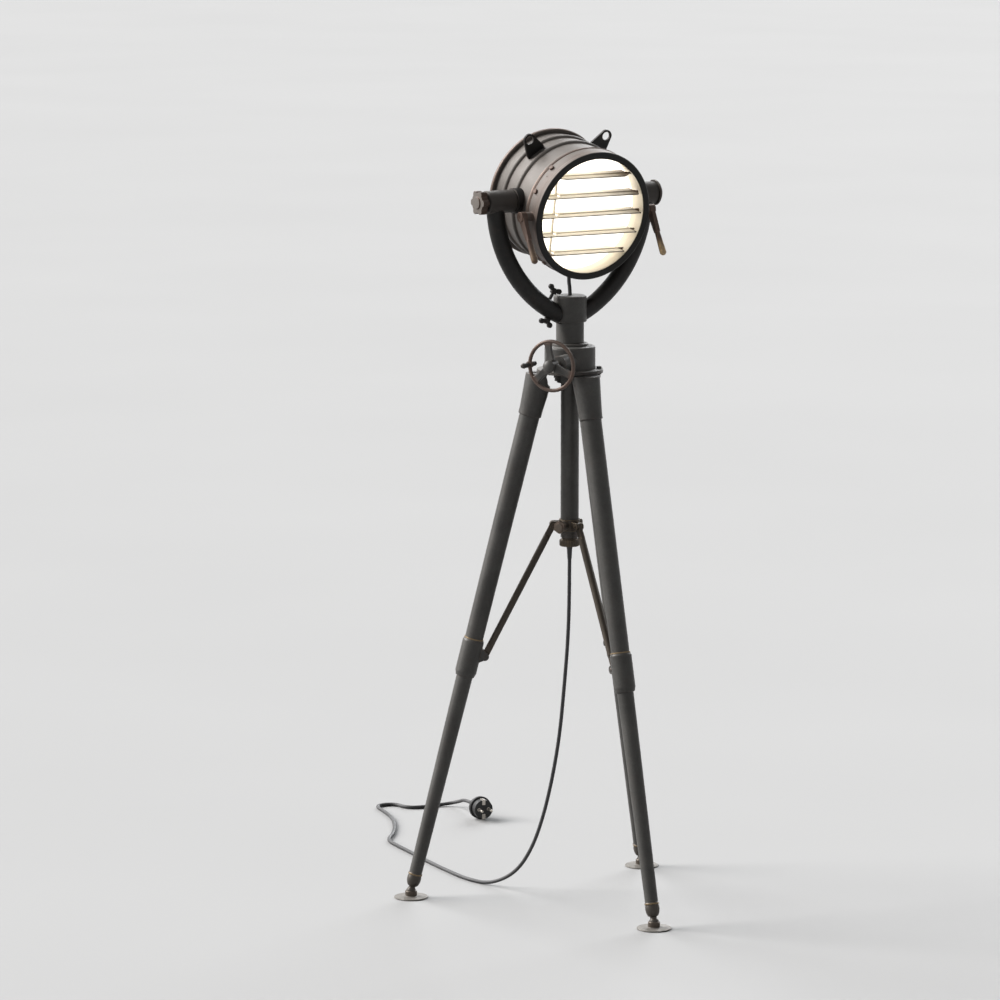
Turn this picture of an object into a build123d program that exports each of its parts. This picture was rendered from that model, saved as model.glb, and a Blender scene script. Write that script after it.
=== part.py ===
from build123d import *
import math
import os

os.makedirs("parts", exist_ok=True)

# Searchlight floor lamp on a folding tripod with a wind-up mast, in mm.
# The column stands on the Z axis, the floor is z = 0 and the head faces -Y.

# Fits, as radial clearances
run_fit = 0.05
slide_fit = 0.1
free_gap = 0.4
face_gap = 0.3

# Tripod
leg_az = {"a": 150.0, "b": 270.0, "c": 30.0}
bolt_az = (90.0, 210.0, 330.0)
foot_circle_r = 280.0
ball_z = 12.0
hinge_r = 56.0
hinge_z = 922.0
fold_angle = 11.5

# Hub plate and gear housing
plate_r = 58.0
plate_z = 940.0
plate_t = 3.0
hub_boss_r = 23.0
hub_boss_h = 18.0
lug_t = 10.0
lug_eye_r = 12.0
hinge_pin_r = 4.0
bolt_circle_r = 51.0
bolt_r = 2.5
bolt_head_r = 4.6
bolt_head_h = 4.0
housing_r = 44.5
housing_h = 41.0

# Guide tube, mast and rack
tube_r = 16.0
tube_bore_r = 13.4
tube_bottom_z = 648.0
mast_r = 13.0
mast_bore_r = 5.5
mast_bottom_z = 664.0
mast_lift = 250.0
gear_module = 1.25
pinion_teeth = 12
gear_addendum = 1.0
gear_dedendum = 1.3
pressure_angle = 25.0
gear_backlash = 0.12
rack_pitch_line = 10.0
pinion_half_w = 7.5
bush_flange_r = 31.5
bush_flange_t = 5.0
bush_spigot_r = 20.0
bush_spigot_h = 12.0

# Handwheel and shaft
wheel_az = 210.0
shaft_r = 5.0
shaft_bush_r = 10.4
shaft_z = 963.0
boss_r = 14.0
boss_reach = 70.0
bush_lip_t = 4.0
wheel_reach = 100.0
wheel_r = 42.7
wheel_rim_r = 3.3
wheel_hub_r = 10.0
wheel_hub_half = 9.0
spoke_t = 4.6
spoke_w = 9.0
wheel_eye_r = 6.0
wheel_eye_half = 4.0
grip_pin_r = 2.5
grip_r = 4.2
grip_out = 28.0
grip_in = 20.0

# Legs, measured down the leg from its hinge
fork_top_r = 17.0
socket_top_r = 25.0
socket_end_r = 20.5
socket_end = 60.0
socket_seat = 36.0
fork_depth = 18.0
upper_top_r = 18.0
upper_end_r = 16.25
tube_wall = 2.5
collar_top = 467.0
collar_len = 70.0
collar_r = 19.0
collar_seat = 33.0
lower_top_r = 14.5
lower_end_r = 11.5
ear_down = 28.0
ear_off = 26.0
ear_r = 7.5
ear_t = 4.0
ring_up = 33.0
ball_r = 8.5
ankle_r = 5.8
pad_r = 30.0
pad_t = 2.5
pad_hub_r = 10.6
pad_hub_z = 13.5

# Spreader
spreader_z = 670.0
spreader_pivot_r = 29.0
spreader_r = 18.6
spreader_h = 20.0
strut_r = 6.0
strut_tongue_t = 6.0
strut_pin_r = 2.5
strut_slot_gap = 1.0
strut_slot_up = 4.5
strut_slot_down = 0.3
strut_eye_wall = 2.4
clamp_shank_r = 3.0
clamp_head_r = 11.5
clamp_head_t = 8.0

# Bottom cap
cap_neck_r = 14.0
cap_neck_h = 4.0
cap_r = 17.9
cap_h = 12.0
cap_flutes = 24

# Yoke
pivot_z = 1246.0
neck_r = 24.35
neck_bottom_z = 992.3
neck_h = 36.7
tee_r = 29.0
tee_h = 46.0
tee_shoulder_z = 1028.0
arm_r = 15.6
arm_arc_r = 224.4
arm_arc_off = 72.0
arm_seat_x = 17.0
arm_wall = 4.0
barrel_r = 19.8
barrel_in = 118.0
barrel_over = 19.6
wing_upper = (50.0, -1, 11.4)
wing_lower = (38.0, 1, 0.3)
wing_bite = 8.0
wing_stem_r = 3.0
wing_hub_r = 6.0
wing_hub_h = 9.0
wing_tip_r = 4.6
wing_reach = 9.2
wing_rise = 8.5
wing_t = 4.8

# Head, measured along its axis from the pivot (s) and from that axis
head_down = 10.65
drum_drop = 12.0
drum_r = 108.0
drum_wall = 2.2
drum_rear = -78.0
drum_front = 52.0
bead_h = 4.0
bead_half = 5.6
bead_at = (-46.0, -10.0, 37.0)
ring_rear = 44.0
ring_front = 80.2
ring_r = 113.0
ring_lip_r = 114.2
ring_bore_r = 105.5
ring_open_r = 102.2
ring_lip_t = 7.2
cover_r = 115.0
cover_t = 8.0
cover_plate_t = 2.5
cover_dome = 9.0
trunnion_r = 8.0
trunnion_pad_r = 22.0
knob_r = 22.0
knob_t = 12.0
knob_lobes = 6
pivot_cap_r = 22.5
pivot_cap_t = 13.0
screw_az = (43.0, 68.0, 140.0)
screw_r = 1.7
screw_head_r = 4.6
screw_head_h = 3.0
screw_s = 52.0
eye_lug_az = 35.0
eye_lug_s = -28.0
eye_lug_t = 4.0
eye_lug_reach = 136.0
eye_lug_r = 11.0
eye_hole_r = 7.5
eye_base_half = 18.0

# Lamp inside the head
reflector_s = 32.0
reflector_t = 1.5
lens_t = 3.0
lens_dome = 2.0
holder_r = 18.0
bulb_r = 30.0
bulb_neck_r = 13.0
bulb_s = -22.0

# Shutter
slat_count = 5
slat_pitch = 34.0
slat_chord = 36.0
slat_t = 2.0
slat_s = 58.0
slat_reach_r = 100.0
slat_trim_r = 104.5
slat_rod_r = 2.6
slat_pin_r = 2.0
shutter_shaft_r = 3.0
tie_x = -62.0
tie_crank = 10.0
tie_t = 2.4
tie_w = 4.6
tie_notch_w = 7.4
tie_notch_past = 8.0
tie_pin_r = 1.25
lever_boss_r = 8.0
lever_x = 125.0
lever_eye_r = 9.0
lever_eye_t = 11.0
lever_len = 88.0
lever_ahead = 40.3
lever_grip_r = 5.8

# Cord
cord_r = 3.3
lead_s = 21.0
gland_r = 9.0
gland_h = 10.0
plug_r = 21.5
plug_az = 260.0
plug_face = (190.5, 613.0)
pin_r = 2.4
pin_root_r = 3.2
pin_len = 18.0
pin_pitch = 19.0


def polar(radius, azimuth, z=0.0):
    a = math.radians(azimuth)
    return (radius * math.cos(a), radius * math.sin(a), z)


def save(piece, name):
    piece.part.label = name
    export_step(piece.part, "parts/" + name + ".step")


collar_end = collar_top + collar_len
collar_step = collar_top + collar_seat
ear_at = collar_top + ear_down
barrel_out = arm_arc_r - arm_arc_off + barrel_over

# Leg frame: x points outward across the leg, y of the side plane runs down the leg.
leg_run = math.hypot(foot_circle_r - hinge_r, hinge_z - ball_z)
leg_lean = math.atan2(foot_circle_r - hinge_r, hinge_z - ball_z)


def leg_along(azimuth):
    x, y, z = polar(math.sin(leg_lean), azimuth)
    return (x, y, -math.cos(leg_lean))


def leg_side(azimuth):
    x, y, z = polar(math.cos(leg_lean), azimuth)
    return Plane(
        origin=polar(hinge_r, azimuth, hinge_z),
        x_dir=(x, y, math.sin(leg_lean)),
        z_dir=polar(1.0, azimuth + 90.0),
    )


def leg_axis(azimuth):
    return Axis(polar(hinge_r, azimuth, hinge_z), leg_along(azimuth))


def upright_side(azimuth, radius, z):
    # Local x is radial, local y points down.
    return Plane(
        origin=polar(radius, azimuth, z),
        x_dir=polar(1.0, azimuth),
        z_dir=polar(1.0, azimuth + 90.0),
    )


# Shaft frame: local x runs sideways past the mast, local y is up, z points out to the wheel.
shaft_off = rack_pitch_line + gear_module * pinion_teeth / 2


def shaft_plane(reach):
    side = polar(shaft_off, wheel_az + 90.0)
    out = polar(reach, wheel_az)
    return Plane(
        origin=(side[0] + out[0], side[1] + out[1], shaft_z),
        x_dir=polar(1.0, wheel_az + 90.0),
        z_dir=polar(1.0, wheel_az),
    )


# Head frame: n is the beam direction, u is the head's own up.
tilt = math.radians(head_down)
head_n = (0.0, -math.cos(tilt), -math.sin(tilt))
head_u = (0.0, -math.sin(tilt), math.cos(tilt))


def head_point(x, v, s):
    w = v - drum_drop
    return (x, head_u[1] * w + head_n[1] * s, pivot_z + head_u[2] * w + head_n[2] * s)


def head_front(s, x=0.0, v=0.0):
    # Local x and y are across and up the head, z is the beam.
    return Plane(origin=head_point(x, v, s), x_dir=(1, 0, 0), z_dir=head_n)


def head_profile():
    # Local x is the radius, local y is s.
    return Plane(origin=head_point(0, 0, 0), x_dir=(1, 0, 0), z_dir=(0, -head_u[1], -head_u[2]))


def head_side(x, v, s):
    # Local x is s, local y points down the head, z is +X.
    return Plane(origin=head_point(x, v, s), x_dir=head_n, z_dir=(1, 0, 0))


def pivot_plane(x):
    return Plane(origin=(x, 0, pivot_z), x_dir=(0, 1, 0), z_dir=(1, 0, 0))


def head_out(azimuth):
    # Outward from the head's axis, turned from its own up towards +X.
    a = math.radians(azimuth)
    return Vector(math.sin(a), 0, 0) + Vector(*head_u) * math.cos(a)


def dome_rise(radius, rim, rise):
    # Height of a spherical cap of that rise over its rim, at a radius.
    ball = (rim**2 + rise**2) / (2 * rise)
    return math.sqrt(ball**2 - radius**2) - (ball - rise)


head_axis = Axis(head_point(0, 0, 0), head_n)

# Hub plate: flange, centre boss and one hinge lug for each leg.
lug_top = hinge_z - plate_z
with BuildPart() as hub_plate:
    with BuildSketch(Plane.XY.offset(plate_z)):
        Circle(plate_r)
    extrude(amount=plate_t)
    with BuildSketch(Plane.XY.offset(plate_z - hub_boss_h)):
        Circle(hub_boss_r)
    extrude(amount=hub_boss_h)
    for az in leg_az.values():
        with BuildSketch(upright_side(az, hinge_r, hinge_z)):
            Circle(lug_eye_r)
            with BuildLine():
                Polyline(
                    (-18, lug_top - 1),
                    (1, lug_top - 1),
                    (lug_eye_r, 0),
                    (-lug_eye_r, 0),
                    close=True,
                )
            make_face()
        extrude(amount=lug_t / 2, both=True)
        with BuildSketch(upright_side(az, hinge_r, hinge_z)):
            Circle(hinge_pin_r)
        extrude(amount=lug_t, both=True, mode=Mode.SUBTRACT)
    with BuildSketch(Plane.XY.offset(plate_z - hub_boss_h - 1)):
        Circle(tube_r)
    extrude(amount=hub_boss_h + plate_t + 2, mode=Mode.SUBTRACT)
    with BuildSketch(Plane.XY.offset(plate_z - 1)):
        for az in bolt_az:
            with Locations(polar(bolt_circle_r, az)):
                Circle(bolt_r)
    extrude(amount=plate_t + 2, mode=Mode.SUBTRACT)
save(hub_plate, "hub_plate")

# Gear housing: flange, drum and shaft boss, bored for the mast and the pinion.
flange_z = plate_z + plate_t
body_z = flange_z + plate_t
housing_top = body_z + housing_h
with BuildPart() as gear_housing:
    with BuildSketch(Plane.XZ):
        with BuildLine():
            Polyline(
                (0, flange_z),
                (plate_r, flange_z),
                (plate_r, body_z),
                (housing_r, body_z),
                (housing_r, housing_top - 4),
                (housing_r - 1.2, housing_top - 1.2),
                (housing_r - 4, housing_top),
                (0, housing_top),
                close=True,
            )
        make_face()
    revolve(axis=Axis.Z)
    with BuildSketch(shaft_plane(0)):
        Circle(boss_r)
    extrude(amount=boss_reach)
    with BuildSketch(Plane.XY.offset(flange_z - 1)):
        Circle(mast_r + free_gap)
    extrude(amount=housing_h + 10, mode=Mode.SUBTRACT)
    with BuildSketch(Plane.XY.offset(housing_top - bush_spigot_h)):
        Circle(bush_spigot_r)
    extrude(amount=bush_spigot_h + 1, mode=Mode.SUBTRACT)
    with BuildSketch(shaft_plane(-pinion_half_w - 1.5)):
        Circle(shaft_bush_r)
    extrude(amount=boss_reach + pinion_half_w + 3, mode=Mode.SUBTRACT)
    with BuildSketch(shaft_plane(-pinion_half_w - 14)):
        Circle(shaft_r + run_fit)
    extrude(amount=16, mode=Mode.SUBTRACT)
    with BuildSketch(Plane.XY.offset(flange_z - 1)):
        for az in bolt_az:
            with Locations(polar(bolt_circle_r, az)):
                Circle(bolt_r)
    extrude(amount=plate_t + 2, mode=Mode.SUBTRACT)
save(gear_housing, "gear_housing")

# Guide tube, from the bottom cap up to the gear housing.
with BuildPart() as guide_tube:
    with BuildSketch(Plane.XY.offset(tube_bottom_z)):
        Circle(tube_r)
        Circle(tube_bore_r, mode=Mode.SUBTRACT)
    extrude(amount=flange_z - tube_bottom_z)
    # Grooves round the end that the cap screws on.
    for k in range(3):
        with BuildSketch(Plane.XY.offset(tube_bottom_z + 2 + 3 * k)):
            Circle(tube_r + 1)
            Circle(tube_r - 0.8, mode=Mode.SUBTRACT)
        extrude(amount=1.4, mode=Mode.SUBTRACT)
save(guide_tube, "guide_tube")

# Top bush that the mast slides through.
with BuildPart() as mast_bush:
    with BuildSketch(Plane.XZ):
        with BuildLine():
            Polyline(
                (mast_r + run_fit, housing_top - bush_spigot_h),
                (bush_spigot_r, housing_top - bush_spigot_h),
                (bush_spigot_r, housing_top),
                (bush_flange_r, housing_top),
                (bush_flange_r, housing_top + bush_flange_t - 1.5),
                (bush_flange_r - 1.5, housing_top + bush_flange_t),
                (mast_r + run_fit, housing_top + bush_flange_t),
                close=True,
            )
        make_face()
    revolve(axis=Axis.Z)
save(mast_bush, "mast_bush")

# Bottom cap with a fluted rim and the cord outlet.
cap_z = tube_bottom_z - cap_neck_h - cap_h
with BuildPart() as bottom_cap:
    with BuildSketch(Plane.XZ):
        with BuildLine():
            Polyline(
                (cord_r + slide_fit, cap_z),
                (cap_r - 1.5, cap_z),
                (cap_r, cap_z + 1.5),
                (cap_r, cap_z + cap_h - 1.5),
                (cap_r - 1.5, cap_z + cap_h),
                (cap_neck_r, cap_z + cap_h),
                (cap_neck_r, tube_bottom_z),
                (tube_bore_r, tube_bottom_z),
                (tube_bore_r, tube_bottom_z + 10),
                (cord_r + slide_fit, tube_bottom_z + 10),
                close=True,
            )
        make_face()
    revolve(axis=Axis.Z)
    with BuildSketch(Plane.XY.offset(cap_z - 1)):
        with PolarLocations(cap_r + 0.5, cap_flutes):
            Circle(1.3)
    extrude(amount=cap_h + 1, mode=Mode.SUBTRACT)
save(bottom_cap, "bottom_cap")

# Hinge pins of the legs and the three bolts through both flanges.
with BuildPart() as hub_bolts:
    for az in leg_az.values():
        with BuildSketch(leg_side(az)):
            Circle(hinge_pin_r)
        extrude(amount=socket_top_r - 2, both=True)
    with BuildSketch(Plane.XY.offset(plate_z - 10)):
        for az in bolt_az:
            with Locations(polar(bolt_circle_r, az)):
                Circle(bolt_r)
    extrude(amount=10 + 2 * plate_t)
    with BuildSketch(Plane.XY.offset(body_z)):
        for az in bolt_az:
            with Locations(polar(bolt_circle_r, az)):
                RegularPolygon(bolt_head_r, 6)
    extrude(amount=bolt_head_h)
    with BuildSketch(Plane.XY.offset(plate_z - bolt_head_h)):
        for az in bolt_az:
            with Locations(polar(bolt_circle_r, az)):
                RegularPolygon(bolt_head_r, 6)
    extrude(amount=bolt_head_h)
save(hub_bolts, "hub_bolts")

# Shaft bush, closing the pinion pocket.
with BuildPart() as shaft_bush:
    with BuildSketch(shaft_plane(pinion_half_w + 1.5)):
        Circle(shaft_bush_r)
    extrude(amount=boss_reach - pinion_half_w - 1.5)
    with BuildSketch(shaft_plane(boss_reach)):
        Circle(boss_r)
    extrude(amount=bush_lip_t)
    with BuildSketch(shaft_plane(0)):
        Circle(shaft_r + run_fit)
    extrude(amount=boss_reach + bush_lip_t + 1, mode=Mode.SUBTRACT)
    # Relieved where the mast runs past the end of the bush.
    with BuildSketch(Plane.XY.offset(body_z)):
        Circle(mast_r + free_gap)
    extrude(amount=housing_h, mode=Mode.SUBTRACT)
save(shaft_bush, "shaft_bush")


# Legs.
def leg_socket(az):
    # The pin's height under the plate limits the top: level outside, round inside for the fold.
    up = (math.sin(leg_lean) * fork_top_r, -math.cos(leg_lean) * fork_top_r)
    wide = 2 * socket_top_r
    slot_end = lug_eye_r + 2 * free_gap
    top = fork_top_r + 2
    with BuildPart() as piece:
        with BuildSketch(leg_side(az)):
            with BuildLine():
                Polyline(
                    (0, -top),
                    (socket_top_r, -top),
                    (socket_end_r, socket_end - 12),
                    (socket_end_r, socket_end - 1),
                    (socket_end_r - 1, socket_end),
                    (upper_top_r, socket_end),
                    (upper_top_r, socket_seat),
                    (0, socket_seat),
                    close=True,
                )
            make_face()
        revolve(axis=leg_axis(az))
        with BuildSketch(leg_side(az)):
            Circle(fork_top_r)
            with BuildLine():
                Polyline(
                    (-fork_top_r, 0),
                    up,
                    (up[0] + wide * math.cos(leg_lean), up[1] + wide * math.sin(leg_lean)),
                    (wide, socket_end + 1),
                    (-wide, socket_end + 1),
                    (-wide, fork_depth),
                    close=True,
                )
            make_face()
        extrude(amount=wide, both=True, mode=Mode.INTERSECT)
        with BuildSketch(leg_side(az)):
            with Locations(((slot_end - wide) / 2, (fork_depth - wide) / 2)):
                Rectangle(slot_end + wide, fork_depth + wide)
        extrude(amount=lug_t / 2 + face_gap, both=True, mode=Mode.SUBTRACT)
        with BuildSketch(leg_side(az)):
            Circle(hinge_pin_r + run_fit)
        extrude(amount=wide, both=True, mode=Mode.SUBTRACT)
    return piece


def leg_upper(az):
    with BuildPart() as piece:
        with BuildSketch(leg_side(az)):
            with BuildLine():
                Polyline(
                    (upper_end_r - tube_wall, socket_seat),
                    (upper_top_r, socket_seat),
                    (upper_top_r, socket_end + 2),
                    (upper_end_r, collar_top),
                    (upper_end_r, collar_step),
                    (upper_end_r - tube_wall, collar_step),
                    close=True,
                )
            make_face()
        revolve(axis=leg_axis(az))
    return piece


def leg_collar(az):
    with BuildPart() as piece:
        with BuildSketch(leg_side(az)):
            with BuildLine():
                Polyline(
                    (upper_end_r, collar_top),
                    (collar_r - 1.5, collar_top),
                    (collar_r - 1.5, collar_top + 3),
                    (collar_r - 0.5, collar_top + 4.5),
                    (collar_r, collar_top + 6),
                    (collar_r, collar_end - 8),
                    (collar_r - 1.5, collar_end - 3),
                    (collar_r - 2.5, collar_end),
                    (lower_top_r, collar_end),
                    (lower_top_r, collar_step),
                    (upper_end_r, collar_step),
                    close=True,
                )
            make_face()
        revolve(axis=leg_axis(az))
        for side in (1, -1):
            with BuildSketch(leg_side(az).offset(side * (strut_tongue_t / 2 + face_gap))):
                with Locations((-ear_off, ear_at)):
                    Circle(ear_r)
                with BuildLine():
                    Polyline(
                        (-ear_off, ear_at - ear_r),
                        (-collar_r + 1.5, ear_at - ear_r - 6),
                        (-collar_r + 1.5, ear_at + ear_r + 6),
                        (-ear_off, ear_at + ear_r),
                        close=True,
                    )
                make_face()
            extrude(amount=side * ear_t)
        with BuildSketch(leg_side(az)):
            with Locations((-ear_off, ear_at)):
                Circle(strut_pin_r)
        extrude(amount=strut_tongue_t / 2 + face_gap + ear_t + 1.5, both=True)
        with BuildSketch(leg_side(az)):
            with BuildLine():
                Polyline(
                    (0, collar_top),
                    (upper_end_r, collar_top),
                    (upper_end_r, collar_step),
                    (0, collar_step),
                    close=True,
                )
            make_face()
        revolve(axis=leg_axis(az), mode=Mode.SUBTRACT)
    return piece


def leg_lower(az):
    end = leg_run
    with BuildPart() as piece:
        with BuildSketch(leg_side(az)):
            with BuildLine():
                Polyline(
                    (0, end - 2 * ring_up),
                    (lower_end_r - tube_wall, end - 2 * ring_up - 6),
                    (lower_end_r - tube_wall, collar_step),
                    (lower_top_r, collar_step),
                    (lower_top_r, collar_end + 2),
                    (lower_end_r, end - ring_up - 1),
                    (lower_end_r + 1.2, end - ring_up),
                    (lower_end_r + 1.2, end - ring_up + 2.3),
                    (lower_end_r, end - ring_up + 2.8),
                )
                ThreePointArc(
                    (lower_end_r, end - ring_up + 2.8),
                    (lower_end_r + 0.9, end - 0.64 * ring_up),
                    (ball_r + 0.4, end - ball_r - 2),
                )
                Polyline(
                    (ball_r + 0.4, end - ball_r - 2),
                    (ankle_r, end - ball_r - 0.5),
                    (ankle_r, end - math.sqrt(ball_r**2 - ankle_r**2)),
                )
                ThreePointArc(
                    (ankle_r, end - math.sqrt(ball_r**2 - ankle_r**2)),
                    (ball_r, end),
                    (0, end + ball_r),
                )
                Line((0, end + ball_r), (0, end - 2 * ring_up))
            make_face()
        revolve(axis=leg_axis(az))
    return piece


def foot(az):
    x, y, z = polar(foot_circle_r, az)
    side = Plane(origin=(x, y, 0), x_dir=(1, 0, 0), z_dir=(0, -1, 0))
    cup_r = ball_r + slide_fit
    rim_r = math.sqrt(cup_r**2 - (pad_hub_z - ball_z) ** 2)
    with BuildPart() as piece:
        with BuildSketch(side):
            with BuildLine():
                Polyline(
                    (0, ball_z - cup_r),
                    (0, 0),
                    (pad_r - 0.8, 0),
                    (pad_r, 0.8),
                    (pad_r, pad_t - 0.6),
                    (pad_r - 0.6, pad_t),
                    (pad_hub_r, pad_t + 1),
                    (pad_hub_r, pad_hub_z - 1.5),
                    (pad_hub_r - 1.5, pad_hub_z),
                    (rim_r, pad_hub_z),
                )
                ThreePointArc((rim_r, pad_hub_z), (cup_r, ball_z), (0, ball_z - cup_r))
            make_face()
        revolve(axis=Axis((x, y, 0), (0, 0, 1)))
    return piece


for tag, az in leg_az.items():
    save(leg_socket(az), "leg_socket_" + tag)
    save(leg_upper(az), "leg_upper_" + tag)
    save(leg_collar(az), "leg_collar_" + tag)
    save(leg_lower(az), "leg_lower_" + tag)
    save(foot(az), "foot_" + tag)

# Spreader hub that slides on the guide tube.
clevis_in = strut_tongue_t / 2 + face_gap
spreader_low = spreader_z - spreader_h / 2
with BuildPart() as spreader_hub:
    with BuildSketch(Plane.XY.offset(spreader_low)):
        Circle(spreader_r)
    extrude(amount=spreader_h)
    for az in leg_az.values():
        for side in (1, -1):
            base = upright_side(az, spreader_pivot_r, spreader_z)
            with BuildSketch(base.offset(side * clevis_in)):
                Circle(ear_r - 1)
                with Locations((-7, 0)):
                    Rectangle(14, 2 * ear_r - 2)
            extrude(amount=side * ear_t)
    with BuildSketch(Plane(origin=polar(tube_r, wheel_az, spreader_z), z_dir=polar(1, wheel_az))):
        Circle(8.5)
    extrude(amount=15)
    for az in leg_az.values():
        with BuildSketch(upright_side(az, spreader_pivot_r, spreader_z)):
            Circle(strut_pin_r + run_fit)
        extrude(amount=clevis_in + ear_t + 2, both=True, mode=Mode.SUBTRACT)
    with BuildSketch(Plane.XY.offset(spreader_low - 1)):
        Circle(tube_r + slide_fit)
    extrude(amount=spreader_h + 2, mode=Mode.SUBTRACT)
    with BuildSketch(Plane(origin=polar(tube_r - 2, wheel_az, spreader_z), z_dir=polar(1, wheel_az))):
        Circle(clamp_shank_r + run_fit)
    extrude(amount=20, mode=Mode.SUBTRACT)
save(spreader_hub, "spreader_hub")

# Clamp screw of the spreader.
with BuildPart() as clamp_screw:
    with BuildSketch(
        Plane(origin=polar(tube_r + face_gap, wheel_az, spreader_z), z_dir=polar(1, wheel_az))
    ):
        Circle(clamp_shank_r)
    extrude(amount=18)
    with BuildSketch(
        Plane(origin=polar(tube_r + 15.2, wheel_az, spreader_z), x_dir=(0, 0, 1), z_dir=polar(1, wheel_az))
    ):
        RegularPolygon(clamp_head_r, 6)
    extrude(amount=clamp_head_t)
    with BuildSketch(
        Plane(origin=polar(tube_r + 15.2 + clamp_head_t, wheel_az, spreader_z), z_dir=polar(1, wheel_az))
    ):
        Circle(clamp_head_r * 0.62)
    extrude(amount=1.6)
save(clamp_screw, "clamp_screw")

# Struts from the spreader to the leg collars.
low_r = hinge_r + ear_at * math.sin(leg_lean) - ear_off * math.cos(leg_lean)
low_z = hinge_z - ear_at * math.cos(leg_lean) - ear_off * math.sin(leg_lean)
strut_len = math.hypot(low_r - spreader_pivot_r, spreader_z - low_z)
strut_lean = math.atan2(low_r - spreader_pivot_r, spreader_z - low_z)


def strut_side(az):
    x, y, z = polar(math.cos(strut_lean), az)
    return Plane(
        origin=polar(spreader_pivot_r, az, spreader_z),
        x_dir=(x, y, math.sin(strut_lean)),
        z_dir=polar(1.0, az + 90.0),
    )


def strut(az):
    dx, dy, dz = polar(math.sin(strut_lean), az)
    along = (dx, dy, -math.cos(strut_lean))
    slot_r = strut_pin_r + strut_slot_gap
    with BuildPart() as piece:
        with BuildSketch(strut_side(az)):
            with BuildLine():
                Polyline(
                    (0, 20),
                    (strut_r - 2, 20),
                    (strut_r, 24),
                    (strut_r, strut_len - 26),
                    (strut_r - 2, strut_len - 22),
                    (0, strut_len - 22),
                    close=True,
                )
            make_face()
        revolve(axis=Axis(polar(spreader_pivot_r, az, spreader_z), along))
        with BuildSketch(strut_side(az)):
            Circle(strut_r)
            with Locations((0, 12)):
                Rectangle(2 * strut_r - 1, 24)
            with Locations((0, strut_len)):
                Circle(slot_r + strut_eye_wall)
            with Locations((0, strut_len - 14)):
                Rectangle(2 * (slot_r + strut_eye_wall), 28)
        extrude(amount=strut_tongue_t / 2, both=True)
        with BuildSketch(strut_side(az)):
            with Locations((0, strut_len - strut_slot_up)):
                Circle(slot_r)
            with Locations((0, strut_len + strut_slot_down)):
                Circle(slot_r)
            with Locations((0, strut_len - (strut_slot_up - strut_slot_down) / 2)):
                Rectangle(2 * slot_r, strut_slot_up + strut_slot_down)
        extrude(amount=strut_tongue_t, both=True, mode=Mode.SUBTRACT)
        with BuildSketch(strut_side(az)):
            Circle(strut_pin_r)
        extrude(amount=clevis_in + ear_t + 1.5, both=True)
    return piece


for tag, az in leg_az.items():
    save(strut(az), "strut_" + tag)

# Mast: a thick tube with a rack cut along one side.
pitch = math.pi * gear_module
rack_tip = rack_pitch_line + gear_addendum
rack_root = rack_pitch_line - gear_dedendum
lean_tip = gear_addendum * math.tan(math.radians(pressure_angle))
lean_root = gear_dedendum * math.tan(math.radians(pressure_angle))
gap_half = pitch / 4 + gear_backlash / 2
teeth_up = 3
teeth_down = int((mast_lift + 10) / pitch)
rack_side = Plane(
    origin=(0, 0, shaft_z), x_dir=polar(1.0, wheel_az + 90.0), z_dir=polar(1.0, wheel_az)
)
rack_points = [(2 * mast_r, (teeth_up + 0.5) * pitch), (rack_tip, (teeth_up + 0.5) * pitch)]
for k in range(teeth_up, -teeth_down - 1, -1):
    rack_points.append((rack_tip, k * pitch + gap_half + lean_tip))
    rack_points.append((rack_root, k * pitch + gap_half - lean_root))
    rack_points.append((rack_root, k * pitch - gap_half + lean_root))
    rack_points.append((rack_tip, k * pitch - gap_half - lean_tip))
rack_points.append((rack_tip, -(teeth_down + 0.5) * pitch))
rack_points.append((2 * mast_r, -(teeth_down + 0.5) * pitch))
with BuildPart() as mast:
    with BuildSketch(Plane.XY.offset(mast_bottom_z)):
        Circle(mast_r)
        Circle(mast_bore_r, mode=Mode.SUBTRACT)
    extrude(amount=tee_shoulder_z - mast_bottom_z)
    with BuildSketch(rack_side):
        with BuildLine():
            Polyline(*rack_points, close=True)
        make_face()
    extrude(amount=2 * mast_r, both=True, mode=Mode.SUBTRACT)
save(mast, "mast")

# Pinion with involute flanks on the handwheel shaft.
pitch_r = gear_module * pinion_teeth / 2
base_r = pitch_r * math.cos(math.radians(pressure_angle))
tip_r = pitch_r + gear_addendum
root_r = pitch_r - gear_dedendum


def involute(angle):
    return math.tan(angle) - angle


def half_tooth(radius):
    if radius <= base_r:
        return half_tooth(base_r + 1e-6)
    thick = (pitch / 2 - gear_backlash) / (2 * pitch_r)
    return thick + involute(math.radians(pressure_angle)) - involute(math.acos(base_r / radius))


flank_r = [root_r] + [base_r + (tip_r - base_r) * k / 4 for k in range(5)]
pinion_points = []
for k in range(pinion_teeth):
    mid = math.pi + 2 * math.pi * k / pinion_teeth
    for r in flank_r:
        a = mid - half_tooth(r)
        pinion_points.append((r * math.cos(a), r * math.sin(a)))
    for r in reversed(flank_r):
        a = mid + half_tooth(r)
        pinion_points.append((r * math.cos(a), r * math.sin(a)))
with BuildPart() as pinion_shaft:
    with BuildSketch(shaft_plane(-pinion_half_w)):
        with BuildLine():
            Polyline(*pinion_points, close=True)
        make_face()
    extrude(amount=2 * pinion_half_w)
    with BuildSketch(shaft_plane(-pinion_half_w - 13)):
        Circle(shaft_r)
    extrude(amount=pinion_half_w + 13 + wheel_reach + wheel_hub_half + 1)
save(pinion_shaft, "pinion_shaft")

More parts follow.
